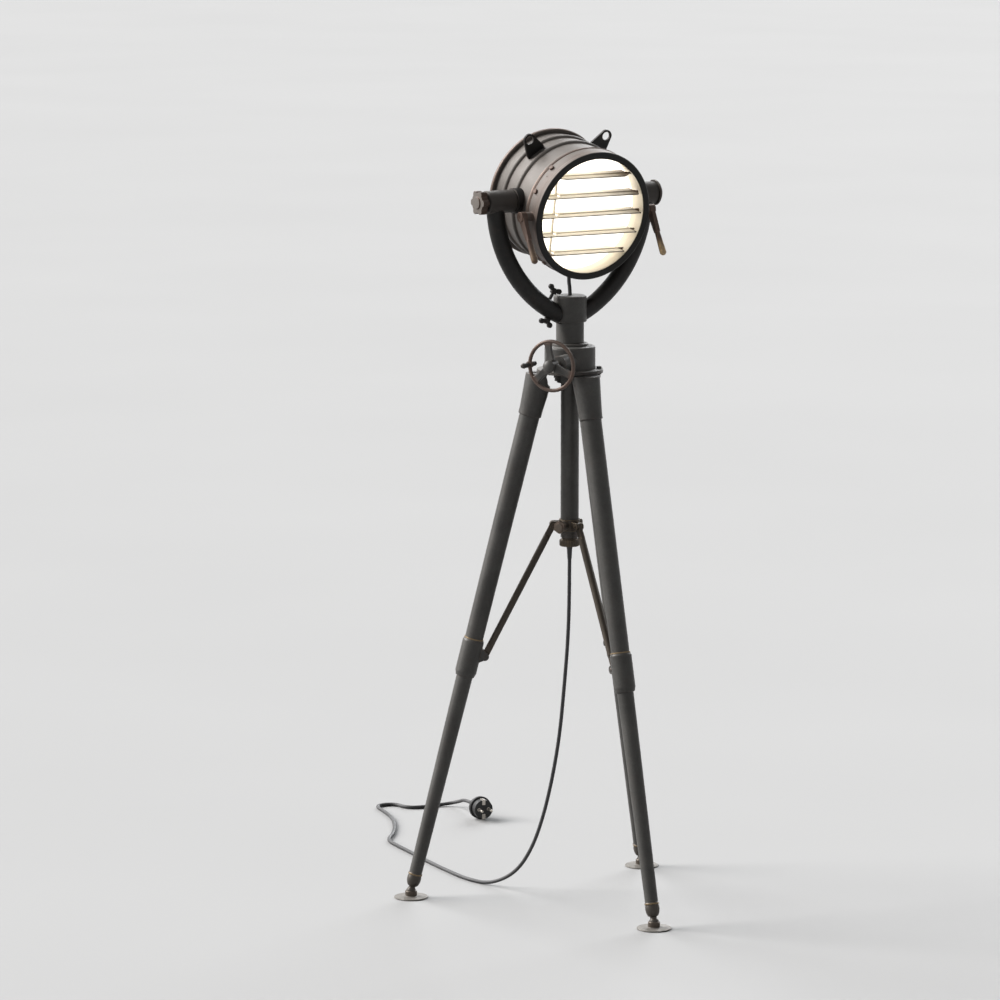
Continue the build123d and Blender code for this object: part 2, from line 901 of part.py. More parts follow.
# Handwheel: rim, hub, three spokes and the eye for the grip.
spoke_az = (100.0, 220.0, 340.0)
wheel_at = shaft_plane(wheel_reach)
with BuildPart() as handwheel:
    with BuildSketch(Plane(origin=wheel_at.origin, x_dir=wheel_at.x_dir, z_dir=-wheel_at.y_dir)):
        with Locations((wheel_r, 0)):
            Circle(wheel_rim_r)
    revolve(axis=Axis(wheel_at.origin, wheel_at.z_dir))
    with BuildSketch(shaft_plane(wheel_reach - wheel_hub_half)):
        Circle(wheel_hub_r)
    extrude(amount=2 * wheel_hub_half)
    with BuildSketch(shaft_plane(wheel_reach - 2 * wheel_hub_half)):
        Circle(shaft_r)
    extrude(amount=4 * wheel_hub_half, mode=Mode.SUBTRACT)
    for a in spoke_az:
        out = wheel_at.x_dir * math.cos(math.radians(a)) + wheel_at.y_dir * math.sin(math.radians(a))
        root = wheel_at.origin + out * (shaft_r + 1.5)
        with BuildSketch(Plane(origin=root, x_dir=wheel_at.z_dir, z_dir=out)):
            RectangleRounded(spoke_t, spoke_w, 0.4 * spoke_t)
        extrude(amount=wheel_r - shaft_r - 1.8)
    eye_at = wheel_at.origin - wheel_at.x_dir * wheel_r
    with BuildSketch(Plane(origin=eye_at - wheel_at.z_dir * wheel_eye_half, z_dir=wheel_at.z_dir)):
        Circle(wheel_eye_r)
    extrude(amount=2 * wheel_eye_half)
    with BuildSketch(Plane(origin=eye_at - wheel_at.z_dir * 2 * wheel_eye_half, z_dir=wheel_at.z_dir)):
        Circle(grip_pin_r + run_fit)
    extrude(amount=4 * wheel_eye_half, mode=Mode.SUBTRACT)
save(handwheel, "handwheel")

# Turned grip that spins in the rim's eye.
grip_side = Plane(origin=eye_at, x_dir=wheel_at.x_dir, z_dir=-wheel_at.y_dir)
near = wheel_eye_half + face_gap
with BuildPart() as crank_grip:
    with BuildSketch(grip_side):
        with BuildLine():
            Polyline(
                (0, -grip_in),
                (grip_r - 1.5, -grip_in),
                (grip_r, -grip_in + 2),
                (grip_r, -grip_in + 8),
                (grip_pin_r + 0.8, -near - 3),
                (grip_pin_r + 0.8, -near),
                (grip_pin_r, -near),
                (grip_pin_r, near),
                (grip_pin_r + 1, near),
                (grip_r, near + 8),
                (grip_r + 0.6, grip_out - 6),
                (grip_r - 0.6, grip_out - 1),
                (grip_r - 2, grip_out),
                (0, grip_out),
                close=True,
            )
        make_face()
    revolve(axis=Axis(eye_at, wheel_at.z_dir))
save(crank_grip, "crank_grip")


# Yoke arms are arcs whose centres lie on the far side of the column.
def arm_angle(x):
    return 180.0 + math.degrees(math.acos((x + arm_arc_off) / arm_arc_r))


def arm_point(angle):
    a = math.radians(angle)
    return (arm_arc_off + arm_arc_r * math.cos(a), pivot_z + arm_arc_r * math.sin(a))


def arm_section(angle, mirror):
    a = math.radians(angle)
    x, z = arm_point(angle)
    return Plane(origin=(mirror * x, 0, z), z_dir=(mirror * -math.sin(a), 0, math.cos(a)))


def arm_path(start, end, mirror):
    mid = (start + end) / 2
    pts = [arm_point(a) for a in (start, mid, end)]
    return [(mirror * p[0], 0, p[1]) for p in pts]


seat_a = arm_angle(arm_seat_x)
mouth_a = arm_angle(2 * tee_r)
tee_z = neck_bottom_z + neck_h
tee_top = tee_z + tee_h

# Tee: neck on the mast and a body that both arms are let into.
with BuildPart() as tee:
    with BuildSketch(Plane.XZ):
        with BuildLine():
            Polyline(
                (0, neck_bottom_z),
                (neck_r, neck_bottom_z),
                (neck_r, tee_z),
                (tee_r - 1, tee_z),
                (tee_r, tee_z + 1),
                (tee_r, tee_top - 3),
                (tee_r - 0.9, tee_top - 0.9),
                (tee_r - 3, tee_top),
                (0, tee_top),
                close=True,
            )
        make_face()
    revolve(axis=Axis.Z)
    for mirror in (1, -1):
        with BuildLine() as seat_path:
            ThreePointArc(*arm_path(mouth_a, seat_a, mirror))
        with BuildSketch(arm_section(mouth_a, mirror)):
            Circle(arm_r)
        sweep(path=seat_path.line, mode=Mode.SUBTRACT)
    with BuildSketch(Plane.XY.offset(neck_bottom_z - 1)):
        Circle(mast_r + run_fit)
    extrude(amount=tee_shoulder_z - neck_bottom_z + 1, mode=Mode.SUBTRACT)
    with BuildSketch(Plane.XY.offset(neck_bottom_z)):
        Circle(mast_bore_r)
    extrude(amount=neck_h + tee_h + 1, mode=Mode.SUBTRACT)
save(tee, "tee")


def wing_base(x):
    point = arm_point(arm_angle(x))
    return Vector(point[0], 0, point[1])


def wing_out(x, sign):
    a = math.radians(arm_angle(x))
    return Vector(math.cos(a), 0, math.sin(a)) * sign


# Arms are tubes from the tee up to the barrels; the left one is tapped for the wing screws.
def yoke_arm(mirror):
    hollow_a = 180.0 + math.degrees(math.asin((barrel_r + arm_wall) / arm_arc_r))
    with BuildPart() as piece:
        with BuildLine() as path:
            ThreePointArc(*arm_path(180.0, seat_a, mirror))
        with BuildSketch(arm_section(180.0, mirror)):
            Circle(arm_r)
        sweep(path=path.line)
        with BuildLine() as core:
            ThreePointArc(*arm_path(hollow_a, seat_a, mirror))
        with BuildSketch(arm_section(hollow_a, mirror)):
            Circle(arm_r - arm_wall)
        sweep(path=core.line, mode=Mode.SUBTRACT)
        with BuildSketch(pivot_plane(-mirror * barrel_in)):
            Circle(barrel_r)
        extrude(amount=-mirror * (barrel_out - barrel_in))
        rims = piece.edges().filter_by(GeomType.CIRCLE)
        chamfer(rims.filter_by(lambda e: e.radius > barrel_r - 0.1), 1.5)
        with BuildSketch(pivot_plane(0)):
            Circle(trunnion_r + run_fit)
        extrude(amount=barrel_out + 10, both=True, mode=Mode.SUBTRACT)
        if mirror == 1:
            for x, sign, stand_off in (wing_upper, wing_lower):
                seat = wing_base(x) + wing_out(x, sign) * (arm_r - wing_bite)
                with BuildSketch(Plane(origin=seat, z_dir=wing_out(x, sign))):
                    Circle(wing_stem_r + run_fit)
                extrude(amount=2 * wing_bite, mode=Mode.SUBTRACT)
    return piece


save(yoke_arm(1), "yoke_arm_left")
save(yoke_arm(-1), "yoke_arm_right")


# Wing screws in the left arm; the upper one stands off to clear the tee's top.
def wing_screw(x, sign, stand_off):
    out = wing_out(x, sign)
    along = Vector(-out.Z, 0, out.X)
    foot_at = wing_base(x) + out * (arm_r - wing_bite + 1)
    hub_at = wing_base(x) + out * (arm_r + stand_off)
    side = Plane(origin=hub_at, x_dir=along, z_dir=along.cross(out))
    with BuildPart() as piece:
        with BuildSketch(Plane(origin=foot_at, z_dir=out)):
            Circle(wing_stem_r)
        extrude(amount=wing_bite + stand_off + 1)
        with BuildSketch(Plane(origin=hub_at, z_dir=out)):
            Circle(wing_hub_r)
        extrude(amount=wing_hub_h)
        with BuildSketch(side):
            with Locations((-wing_reach, wing_rise), (wing_reach, wing_rise)):
                Circle(wing_tip_r)
            with BuildLine():
                Polyline(
                    (-wing_reach, wing_rise - 0.9 * wing_tip_r),
                    (0, 1),
                    (wing_reach, wing_rise - 0.9 * wing_tip_r),
                    (wing_reach, wing_rise + 0.6 * wing_tip_r),
                    (0, wing_hub_h - 1),
                    (-wing_reach, wing_rise + 0.6 * wing_tip_r),
                    close=True,
                )
            make_face()
        extrude(amount=wing_t / 2, both=True)
    return piece


save(wing_screw(*wing_upper), "wing_screw_upper")
save(wing_screw(*wing_lower), "wing_screw_lower")

# Drum shell with raised beads round it.
inner_r = drum_r - drum_wall
with BuildPart() as drum_shell:
    with BuildSketch(head_profile()):
        with BuildLine():
            last = (drum_r, drum_rear)
            for s in bead_at:
                Line(last, (drum_r, s - bead_half))
                ThreePointArc((drum_r, s - bead_half), (drum_r + bead_h, s), (drum_r, s + bead_half))
                last = (drum_r, s + bead_half)
            Polyline(
                last,
                (drum_r, drum_front),
                (inner_r, drum_front),
                (inner_r, drum_rear),
                (drum_r, drum_rear),
            )
        make_face()
    revolve(axis=head_axis)
    with BuildSketch(Plane(origin=head_point(0, 0, lead_s), z_dir=(0, -head_u[1], -head_u[2]))):
        Circle(cord_r + 2.4)
    extrude(amount=drum_r + 10, mode=Mode.SUBTRACT)
save(drum_shell, "drum_shell")

# Rear cover: a rolled lip round a dished plate with a flat centre.
cover_front = drum_rear + 3
cover_back = cover_front - cover_t
dish_r = drum_r - 8
flat_r = holder_r + 12
dish_mid = (dish_r + flat_r) / 2
with BuildPart() as rear_cover:
    with BuildSketch(head_profile()):
        with BuildLine():
            Polyline(
                (drum_r, cover_front),
                (cover_r - 1.5, cover_front),
                (cover_r, cover_front - 1.5),
                (cover_r, cover_back + 2),
                (cover_r - 2, cover_back),
                (dish_r, cover_back),
            )
            ThreePointArc(
                (dish_r, cover_back),
                (dish_mid, cover_back - 0.75 * cover_dome),
                (flat_r, cover_back - cover_dome),
            )
            Polyline(
                (flat_r, cover_back - cover_dome),
                (0, cover_back - cover_dome),
                (0, cover_back - cover_dome + cover_plate_t),
                (flat_r, cover_back - cover_dome + cover_plate_t),
            )
            ThreePointArc(
                (flat_r, cover_back - cover_dome + cover_plate_t),
                (dish_mid, cover_back - 0.75 * cover_dome + cover_plate_t),
                (dish_r, cover_back + cover_plate_t),
            )
            Polyline(
                (dish_r, cover_back + cover_plate_t),
                (dish_r, drum_rear),
                (drum_r, drum_rear),
                (drum_r, cover_front),
            )
        make_face()
    revolve(axis=head_axis)
save(rear_cover, "rear_cover")

# Front ring: barrel, open lip, shaft bosses and the bores of the slat pins.
slat_v = [slat_pitch * (k - (slat_count - 1) / 2) for k in range(slat_count)]
with BuildPart() as front_ring:
    with BuildSketch(head_profile()):
        with BuildLine():
            Polyline(
                (drum_r, ring_rear),
                (ring_r + 0.4, ring_rear),
                (ring_r + 1.2, ring_rear + 0.8),
                (ring_r + 1.2, ring_rear + 1.8),
                (ring_r, ring_rear + 2.6),
                (ring_r, ring_front - 12),
                (ring_lip_r, ring_front - 9),
                (ring_lip_r, ring_front - 2),
                (ring_lip_r - 2, ring_front),
                (ring_open_r + 1.5, ring_front),
                (ring_open_r, ring_front - 1.5),
                (ring_open_r, ring_front - ring_lip_t),
                (ring_bore_r, ring_front - ring_lip_t),
                (ring_bore_r, drum_front),
                (drum_r, drum_front),
                close=True,
            )
        make_face()
    revolve(axis=head_axis)
    for side in (1, -1):
        with BuildSketch(head_side(side * (ring_bore_r + 2), 0, slat_s)):
            Circle(lever_boss_r)
        extrude(amount=side * (lever_x - ring_bore_r - 2))
    with BuildSketch(head_front(ring_rear)):
        Circle(drum_r)
    extrude(amount=drum_front - ring_rear, mode=Mode.SUBTRACT)
    for v in slat_v:
        with BuildSketch(head_side(0, v, slat_s)):
            Circle((shutter_shaft_r if v == 0 else slat_pin_r) + run_fit)
        reach = lever_x + 5 if v == 0 else math.sqrt((ring_r - 1) ** 2 - v**2)
        extrude(amount=reach, both=True, mode=Mode.SUBTRACT)
    for a in screw_az:
        for side in (1, -1):
            out = head_out(side * a)
            axis_at = Vector(*head_point(0, 0, screw_s))
            with BuildSketch(Plane(origin=axis_at + out * (drum_r - 1), z_dir=out)):
                Circle(screw_r)
            extrude(amount=20, mode=Mode.SUBTRACT)
save(front_ring, "front_ring")

# Screws round the rear edge of the ring.
with BuildPart() as ring_screws:
    for a in screw_az:
        for side in (1, -1):
            out = head_out(side * a)
            axis_at = Vector(*head_point(0, 0, screw_s))
            with BuildSketch(Plane(origin=axis_at + out * drum_r, z_dir=out)):
                Circle(screw_r)
            extrude(amount=ring_r - drum_r + 1)
            with BuildSketch(Plane(origin=axis_at + out * ring_r, z_dir=out)):
                Circle(screw_head_r)
            extrude(amount=screw_head_h, taper=12)
save(ring_screws, "ring_screws")

# Two lifting eyes on top of the drum.
with BuildPart() as eye_lugs:
    for side in (1, -1):
        a = math.radians(90.0 - side * eye_lug_az)
        with BuildSketch(head_front(eye_lug_s - eye_lug_t / 2)):
            with Locations((eye_lug_reach * math.cos(a), eye_lug_reach * math.sin(a))):
                Circle(eye_lug_r)
            with BuildLine():
                pts = []
                for d, t in (
                    (drum_r - 6, -eye_base_half),
                    (drum_r + 4, -eye_base_half),
                    (eye_lug_reach + 4, -eye_lug_r * 0.93),
                    (eye_lug_reach + 4, eye_lug_r * 0.93),
                    (drum_r + 4, eye_base_half),
                    (drum_r - 6, eye_base_half),
                ):
                    pts.append((d * math.cos(a) - t * math.sin(a), d * math.sin(a) + t * math.cos(a)))
                Polyline(*pts, close=True)
            make_face()
        extrude(amount=eye_lug_t)
        with BuildSketch(head_front(eye_lug_s - eye_lug_t)):
            with Locations((eye_lug_reach * math.cos(a), eye_lug_reach * math.sin(a))):
                Circle(eye_hole_r)
        extrude(amount=2 * eye_lug_t, mode=Mode.SUBTRACT)
    with BuildSketch(head_front(eye_lug_s - eye_lug_t)):
        Circle(drum_r)
    extrude(amount=2 * eye_lug_t, mode=Mode.SUBTRACT)
save(eye_lugs, "eye_lugs")

# Trunnions on the drum's sides.
with BuildPart() as trunnions:
    for side in (1, -1):
        with BuildSketch(pivot_plane(side * (drum_r - 12))):
            Circle(trunnion_pad_r)
        extrude(amount=side * (barrel_in - face_gap - drum_r + 12))
    with BuildSketch(head_front(drum_rear)):
        Circle(drum_r)
    extrude(amount=drum_front - drum_rear, mode=Mode.SUBTRACT)
    for s in bead_at:
        with BuildSketch(head_front(s - bead_half)):
            Circle(drum_r + bead_h)
        extrude(amount=2 * bead_half, mode=Mode.SUBTRACT)
    with BuildSketch(pivot_plane(-drum_r - bead_h - 1)):
        Circle(trunnion_r)
    extrude(amount=-(barrel_out + 12 - drum_r - bead_h - 1))
    with BuildSketch(pivot_plane(drum_r + bead_h + 1)):
        Circle(trunnion_r)
    extrude(amount=barrel_out - 6 - drum_r - bead_h - 1)
save(trunnions, "trunnions")

# Star knob that clamps the tilt, on the left trunnion.
knob_x = -(barrel_out + face_gap)
with BuildPart() as star_knob:
    with BuildSketch(pivot_plane(knob_x)):
        Circle(knob_r * 0.6)
    extrude(amount=-4)
    with BuildSketch(pivot_plane(knob_x - 4)):
        Circle(knob_r * 0.8)
        with PolarLocations(knob_r * 0.74, knob_lobes):
            Circle(knob_r * 0.26)
    extrude(amount=-knob_t)
    with BuildSketch(pivot_plane(knob_x - 4 - knob_t)):
        Circle(knob_r * 0.5)
    extrude(amount=-2, taper=30)
    with BuildSketch(pivot_plane(knob_x + 1)):
        Circle(trunnion_r + run_fit)
    extrude(amount=-14, mode=Mode.SUBTRACT)
save(star_knob, "star_knob")

# Domed cap on the right barrel.
cap_edge = 3.0
cap_bulge = pivot_cap_t - cap_edge
with BuildPart() as pivot_cap:
    with BuildSketch(Plane(origin=(barrel_out, 0, pivot_z), x_dir=(0, 1, 0), z_dir=(0, 0, 1))):
        with BuildLine():
            Polyline(
                (0, 5),
                (trunnion_r, 5),
                (trunnion_r, 0),
                (pivot_cap_r, 0),
                (pivot_cap_r, -cap_edge),
            )
            ThreePointArc(
                (pivot_cap_r, -cap_edge),
                (pivot_cap_r / 2, -cap_edge - dome_rise(pivot_cap_r / 2, pivot_cap_r, cap_bulge)),
                (0, -pivot_cap_t),
            )
            Line((0, -pivot_cap_t), (0, 5))
        make_face()
    revolve(axis=Axis((0, 0, pivot_z), (1, 0, 0)))
save(pivot_cap, "pivot_cap")

# Reflector bowl, opal lens, lamp holder and bulb.
bowl = [(holder_r + 10, drum_rear + 22), (62, drum_rear + 38), (88, drum_rear + 74), (98, reflector_s)]
with BuildPart() as reflector:
    with BuildSketch(head_profile()):
        with BuildLine():
            Spline(*bowl)
            Polyline(
                bowl[-1],
                (inner_r, reflector_s),
                (inner_r, reflector_s + reflector_t),
                (bowl[-1][0] - 2, reflector_s + reflector_t),
            )
            Spline(
                (bowl[-1][0] - 2, reflector_s + reflector_t),
                (bowl[2][0] - 1.4, bowl[2][1] + 1.4),
                (bowl[1][0] - 0.6, bowl[1][1] + 1.8),
                (bowl[0][0], bowl[0][1] + 1.8),
            )
            Line((bowl[0][0], bowl[0][1] + 1.8), bowl[0])
        make_face()
    revolve(axis=head_axis)
save(reflector, "reflector")

lens_s = reflector_s + reflector_t
with BuildPart() as lens:
    with BuildSketch(head_profile()):
        with BuildLine():
            Polyline((0, lens_s), (inner_r, lens_s), (inner_r, lens_s + lens_t))
            ThreePointArc(
                (inner_r, lens_s + lens_t),
                (inner_r / 2, lens_s + lens_t + dome_rise(inner_r / 2, inner_r, lens_dome)),
                (0, lens_s + lens_t + lens_dome),
            )
            Line((0, lens_s + lens_t + lens_dome), (0, lens_s))
        make_face()
    revolve(axis=head_axis)
save(lens, "lens")

holder_s = cover_back - cover_dome + cover_plate_t
with BuildPart() as lamp_holder:
    with BuildSketch(head_front(holder_s)):
        Circle(holder_r)
    extrude(amount=drum_rear + 28 - holder_s)
    with BuildSketch(head_front(holder_s + 12)):
        Circle(bulb_neck_r)
    extrude(amount=60, mode=Mode.SUBTRACT)
save(lamp_holder, "lamp_holder")

neck_meet = bulb_s - math.sqrt(bulb_r**2 - bulb_neck_r**2)
with BuildPart() as bulb:
    with BuildSketch(head_profile()):
        with BuildLine():
            Polyline((0, holder_s + 12), (bulb_neck_r, holder_s + 12), (bulb_neck_r, neck_meet))
            ThreePointArc((bulb_neck_r, neck_meet), (bulb_r, bulb_s), (0, bulb_s + bulb_r))
            Line((0, bulb_s + bulb_r), (0, holder_s + 12))
        make_face()
    revolve(axis=head_axis)
save(bulb, "bulb")

# Shutter slats, modelled open; each turns on its own rod.
for k, v in enumerate(slat_v):
    half = math.sqrt(slat_reach_r**2 - v**2)
    flat = Plane(origin=head_point(0, v, slat_s), x_dir=(1, 0, 0), z_dir=(0, -head_u[1], -head_u[2]))
    with BuildPart() as slat:
        with BuildSketch(flat):
            Rectangle(2 * half, slat_chord)
            with Locations((0, -v)):
                Circle(slat_trim_r, mode=Mode.INTERSECT)
        extrude(amount=slat_t / 2, both=True)
        with BuildSketch(head_side(0, v, slat_s)):
            Circle(shutter_shaft_r if v == 0 else slat_rod_r)
        extrude(amount=half if v else lever_x + lever_eye_t, both=True)
        if v:
            with BuildSketch(head_side(0, v, slat_s)):
                Circle(slat_pin_r)
            extrude(amount=math.sqrt((ring_r - 1.5) ** 2 - v**2), both=True)
        # Notch past the rod, so that the tie bar stays clear as the slats close.
        with BuildSketch(flat):
            with Locations((tie_x, tie_notch_past - slat_chord / 2)):
                Rectangle(tie_notch_w, slat_chord)
        extrude(amount=2 * shutter_shaft_r, both=True, mode=Mode.SUBTRACT)
        with BuildSketch(head_side(tie_x, v, slat_s - tie_crank)):
            Circle(tie_pin_r)
        extrude(amount=tie_notch_w / 2 + 1, both=True)
    save(slat, "slat_" + str(k + 1))

# Tie bar that moves the slats together.
with BuildPart() as tie_bar:
    with BuildSketch(head_side(tie_x, 0, slat_s - tie_crank)):
        RectangleRounded(tie_w, slat_pitch * (slat_count - 1) + tie_w + 1, tie_w / 2 - 0.1)
        for v in slat_v:
            with Locations((0, -v)):
                Circle(tie_pin_r + run_fit, mode=Mode.SUBTRACT)
    extrude(amount=tie_t / 2, both=True)
save(tie_bar, "tie_bar")

# Shutter levers on both ends of the middle slat's shaft.
aim = math.radians(lever_ahead)
grip_end = lever_len * 0.62 - lever_grip_r
with BuildPart() as shutter_levers:
    for side in (1, -1):
        start = lever_x + face_gap
        with BuildSketch(head_side(side * start, 0, slat_s)):
            Circle(lever_eye_r)
        extrude(amount=side * lever_eye_t)
        mid = start + lever_eye_t / 2
        tip = (lever_len * math.sin(aim), lever_len * math.cos(aim))
        across = (math.cos(aim), -math.sin(aim))
        with BuildSketch(head_side(side * mid, 0, slat_s)):
            with BuildLine():
                Polyline(
                    (across[0] * 8, across[1] * 8),
                    (tip[0] * 0.5 + across[0] * 5, tip[1] * 0.5 + across[1] * 5),
                    (tip[0] * 0.5 - across[0] * 5, tip[1] * 0.5 - across[1] * 5),
                    (-across[0] * 8, -across[1] * 8),
                    close=True,
                )
            make_face()
        extrude(amount=3.6, both=True)
        hold = head_side(side * mid, 0, slat_s)
        grip_dir = (hold.x_dir * math.sin(aim) + hold.y_dir * math.cos(aim)).normalized()
        grip_from = hold.origin + grip_dir * (lever_len * 0.38)
        grip_plane = Plane(origin=grip_from, x_dir=(1, 0, 0), z_dir=hold.z_dir.cross(grip_dir))
        with BuildSketch(grip_plane):
            with BuildLine():
                Polyline((0, 0), (4.2, 0), (lever_grip_r, lever_len * 0.5), (lever_grip_r, grip_end))
                ThreePointArc(
                    (lever_grip_r, grip_end),
                    (lever_grip_r * math.sqrt(0.5), grip_end + lever_grip_r * math.sqrt(0.5)),
                    (0, grip_end + lever_grip_r),
                )
                Line((0, grip_end + lever_grip_r), (0, 0))
            make_face()
        revolve(axis=Axis(grip_from, grip_dir))
    with BuildSketch(head_side(0, 0, slat_s)):
        Circle(shutter_shaft_r)
    extrude(amount=lever_x + 40, both=True, mode=Mode.SUBTRACT)
save(shutter_levers, "shutter_levers")

# Cable gland under the drum.
down = (0, -head_u[1], -head_u[2])
with BuildPart() as lead_gland:
    with BuildSketch(Plane(origin=head_point(0, -inner_r + 4, lead_s), z_dir=down)):
        Circle(cord_r + 2.4)
    extrude(amount=drum_wall + 4)
    with BuildSketch(Plane(origin=head_point(0, -drum_r, lead_s), z_dir=down)):
        RegularPolygon(gland_r, 6)
    extrude(amount=gland_h * 0.6)
    with BuildSketch(Plane(origin=head_point(0, -drum_r - gland_h * 0.6, lead_s), z_dir=down)):
        Circle(gland_r * 0.75)
    extrude(amount=gland_h * 0.4, taper=15)
    with BuildSketch(Plane(origin=head_point(0, -inner_r + 10, lead_s), z_dir=down)):
        Circle(cord_r)
    extrude(amount=gland_h + 20, mode=Mode.SUBTRACT)
save(lead_gland, "lead_gland")


# Cords are straight runs joined by tangent arcs.
def corner_radii(points):
    radii = []
    for a, b, c in zip(points, points[1:], points[2:]):
        one = Vector(*b) - Vector(*a)
        two = Vector(*c) - Vector(*b)
        turn = math.radians(one.get_angle(two))
        radii.append(0.45 * min(one.length, two.length) / math.tan(turn / 2))
    return radii


def cord(points, name):
    radii = corner_radii(points)
    start = Vector(*points[0])
    with BuildPart() as piece:
        with BuildLine() as route:
            FilletPolyline(*points, radius=radii)
        with BuildSketch(Plane(origin=start, z_dir=Vector(*points[1]) - start)):
            Circle(cord_r)
        sweep(path=route.wire())
    length = route.wire().length
    whole = math.pi * cord_r**2 * length
    print(name, "length", round(length, 1), "radii", [round(r) for r in radii])
    print(name, "volume ratio", round(piece.part.volume / whole, 4))
    return piece


# Head lead from the gland down into the tee.
lead_top = head_point(0, -drum_r + 2, lead_s)
lead_bend = head_point(0, -drum_r - gland_h - 12, lead_s)
lead_points = [
    lead_top,
    lead_bend,
    (0, 0, tee_top + 10),
    (0, 0, tee_top - 14),
]
save(cord(lead_points, "head_lead"), "head_lead")

# Power cord: hangs from the bottom cap, then lies on the floor.
floor_z = cord_r + 0.1
plug_back = 62.0
plug_dir = polar(1.0, plug_az)
plug_tail = (plug_face[0] - plug_dir[0] * plug_back, plug_face[1] - plug_dir[1] * plug_back, plug_r)
cord_points = [
    (0, 0, cap_z + 8),
    (0, 0, 560),
    (-1, 2, 470),
    (-5, 9, 378),
    (-9, 17, 292),
    (-16, 30, 212),
    (-25, 46, 140),
    (-36, 67, 78),
    (-52, 97, 30),
    (-76, 144, floor_z),
    (-92, 200, floor_z),
    (-88, 275, floor_z),
    (-81, 355, floor_z),
    (-70, 438, floor_z),
    (-63, 500, floor_z),
    (-57, 549, floor_z),
    (-19, 592, floor_z),
    (17, 648, floor_z),
    (46, 708, floor_z),
    (63, 768, floor_z),
    (72, 822, floor_z),
    (113, 818, floor_z),
    (116, 775, floor_z),
    (148, 763, floor_z),
    (190, 764, floor_z),
    (211, 746, 9),
    (plug_tail[0] - plug_dir[0] * 36, plug_tail[1] - plug_dir[1] * 36, plug_r),
    (plug_tail[0] + plug_dir[0] * 12, plug_tail[1] + plug_dir[1] * 12, plug_r),
]
save(cord(cord_points, "power_cord"), "power_cord")

# Plug: round earthed two-pin body with a ribbed tail.
plug_body = Plane(
    origin=(plug_face[0], plug_face[1], plug_r), x_dir=(0, 0, 1), z_dir=plug_dir
)
plug_side = Plane(
    origin=plug_body.origin, x_dir=(0, 0, 1), z_dir=Vector(0, 0, 1).cross(Vector(*plug_dir))
)
with BuildPart() as plug:
    with BuildSketch(plug_side):
        with BuildLine():
            Polyline(
                (0, 0),
                (plug_r - 3.5, 0),
                (plug_r - 3.5, -16),
                (plug_r - 1, -16),
                (plug_r, -17),
                (plug_r, -22),
                (plug_r - 2, -28),
                (11, -38),
                (8, -42),
                (6, -plug_back),
                (cord_r, -plug_back),
                (cord_r, -plug_back + 12),
                (0, -plug_back + 12),
                close=True,
            )
        make_face()
    revolve(axis=Axis(plug_body.origin, plug_body.z_dir))
    with BuildSketch(plug_body):
        with Locations((0, pin_pitch / 2), (0, -pin_pitch / 2)):
            Circle(pin_root_r)
    extrude(amount=-12, mode=Mode.SUBTRACT)
save(plug, "plug")

# Contacts: a thicker root moulded into the body, and the bare pin.
with BuildPart() as plug_pins:
    with BuildSketch(plug_body):
        with Locations((0, pin_pitch / 2), (0, -pin_pitch / 2)):
            Circle(pin_r)
    extrude(amount=pin_len)
    fillet(plug_pins.faces().sort_by(Axis(plug_body.origin, plug_body.z_dir))[-2:].edges(), 1.2)
    with BuildSketch(plug_body.offset(-12)):
        with Locations((0, pin_pitch / 2), (0, -pin_pitch / 2)):
            Circle(pin_root_r)
    extrude(amount=12)
save(plug_pins, "plug_pins")

count = len(os.listdir("parts"))
print("strut", round(strut_len, 2), "lean", round(math.degrees(strut_lean), 3))
print("strut pin at radius", round(low_r, 2), "height", round(low_z, 2))
print("files", count)
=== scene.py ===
"""Looks of the searchlight floor lamp: cords, trim, finishes and a plain studio."""

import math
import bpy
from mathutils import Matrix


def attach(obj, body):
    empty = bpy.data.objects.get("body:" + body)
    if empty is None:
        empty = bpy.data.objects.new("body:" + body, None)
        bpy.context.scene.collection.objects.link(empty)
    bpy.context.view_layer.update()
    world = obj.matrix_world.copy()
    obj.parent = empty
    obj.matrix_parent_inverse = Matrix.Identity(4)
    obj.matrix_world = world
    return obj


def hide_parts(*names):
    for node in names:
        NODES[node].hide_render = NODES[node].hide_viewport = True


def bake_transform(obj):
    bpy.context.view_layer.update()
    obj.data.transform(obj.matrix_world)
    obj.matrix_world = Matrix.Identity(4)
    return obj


bl_info = {
    "name": "Searchlight floor lamp",
    "version": (1, 0, 0),
    "blender": (4, 5, 0),
    "location": "View3D > Sidebar > Searchlight",
    "description": "Cords, trim, finishes and studio for a searchlight floor lamp",
    "category": "Add Mesh",
}

import bmesh
import bpy
from bpy.props import FloatProperty, FloatVectorProperty, PointerProperty
from mathutils import Matrix, Vector

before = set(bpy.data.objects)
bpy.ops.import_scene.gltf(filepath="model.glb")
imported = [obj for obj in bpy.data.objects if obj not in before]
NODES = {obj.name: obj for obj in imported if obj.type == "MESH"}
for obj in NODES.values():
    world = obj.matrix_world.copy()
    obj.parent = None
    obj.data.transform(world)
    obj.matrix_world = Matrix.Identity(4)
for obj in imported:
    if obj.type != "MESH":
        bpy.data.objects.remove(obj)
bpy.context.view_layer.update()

UP = Vector((0.0, 0.0, 1.0))
SIDE = Vector((1.0, 0.0, 0.0))

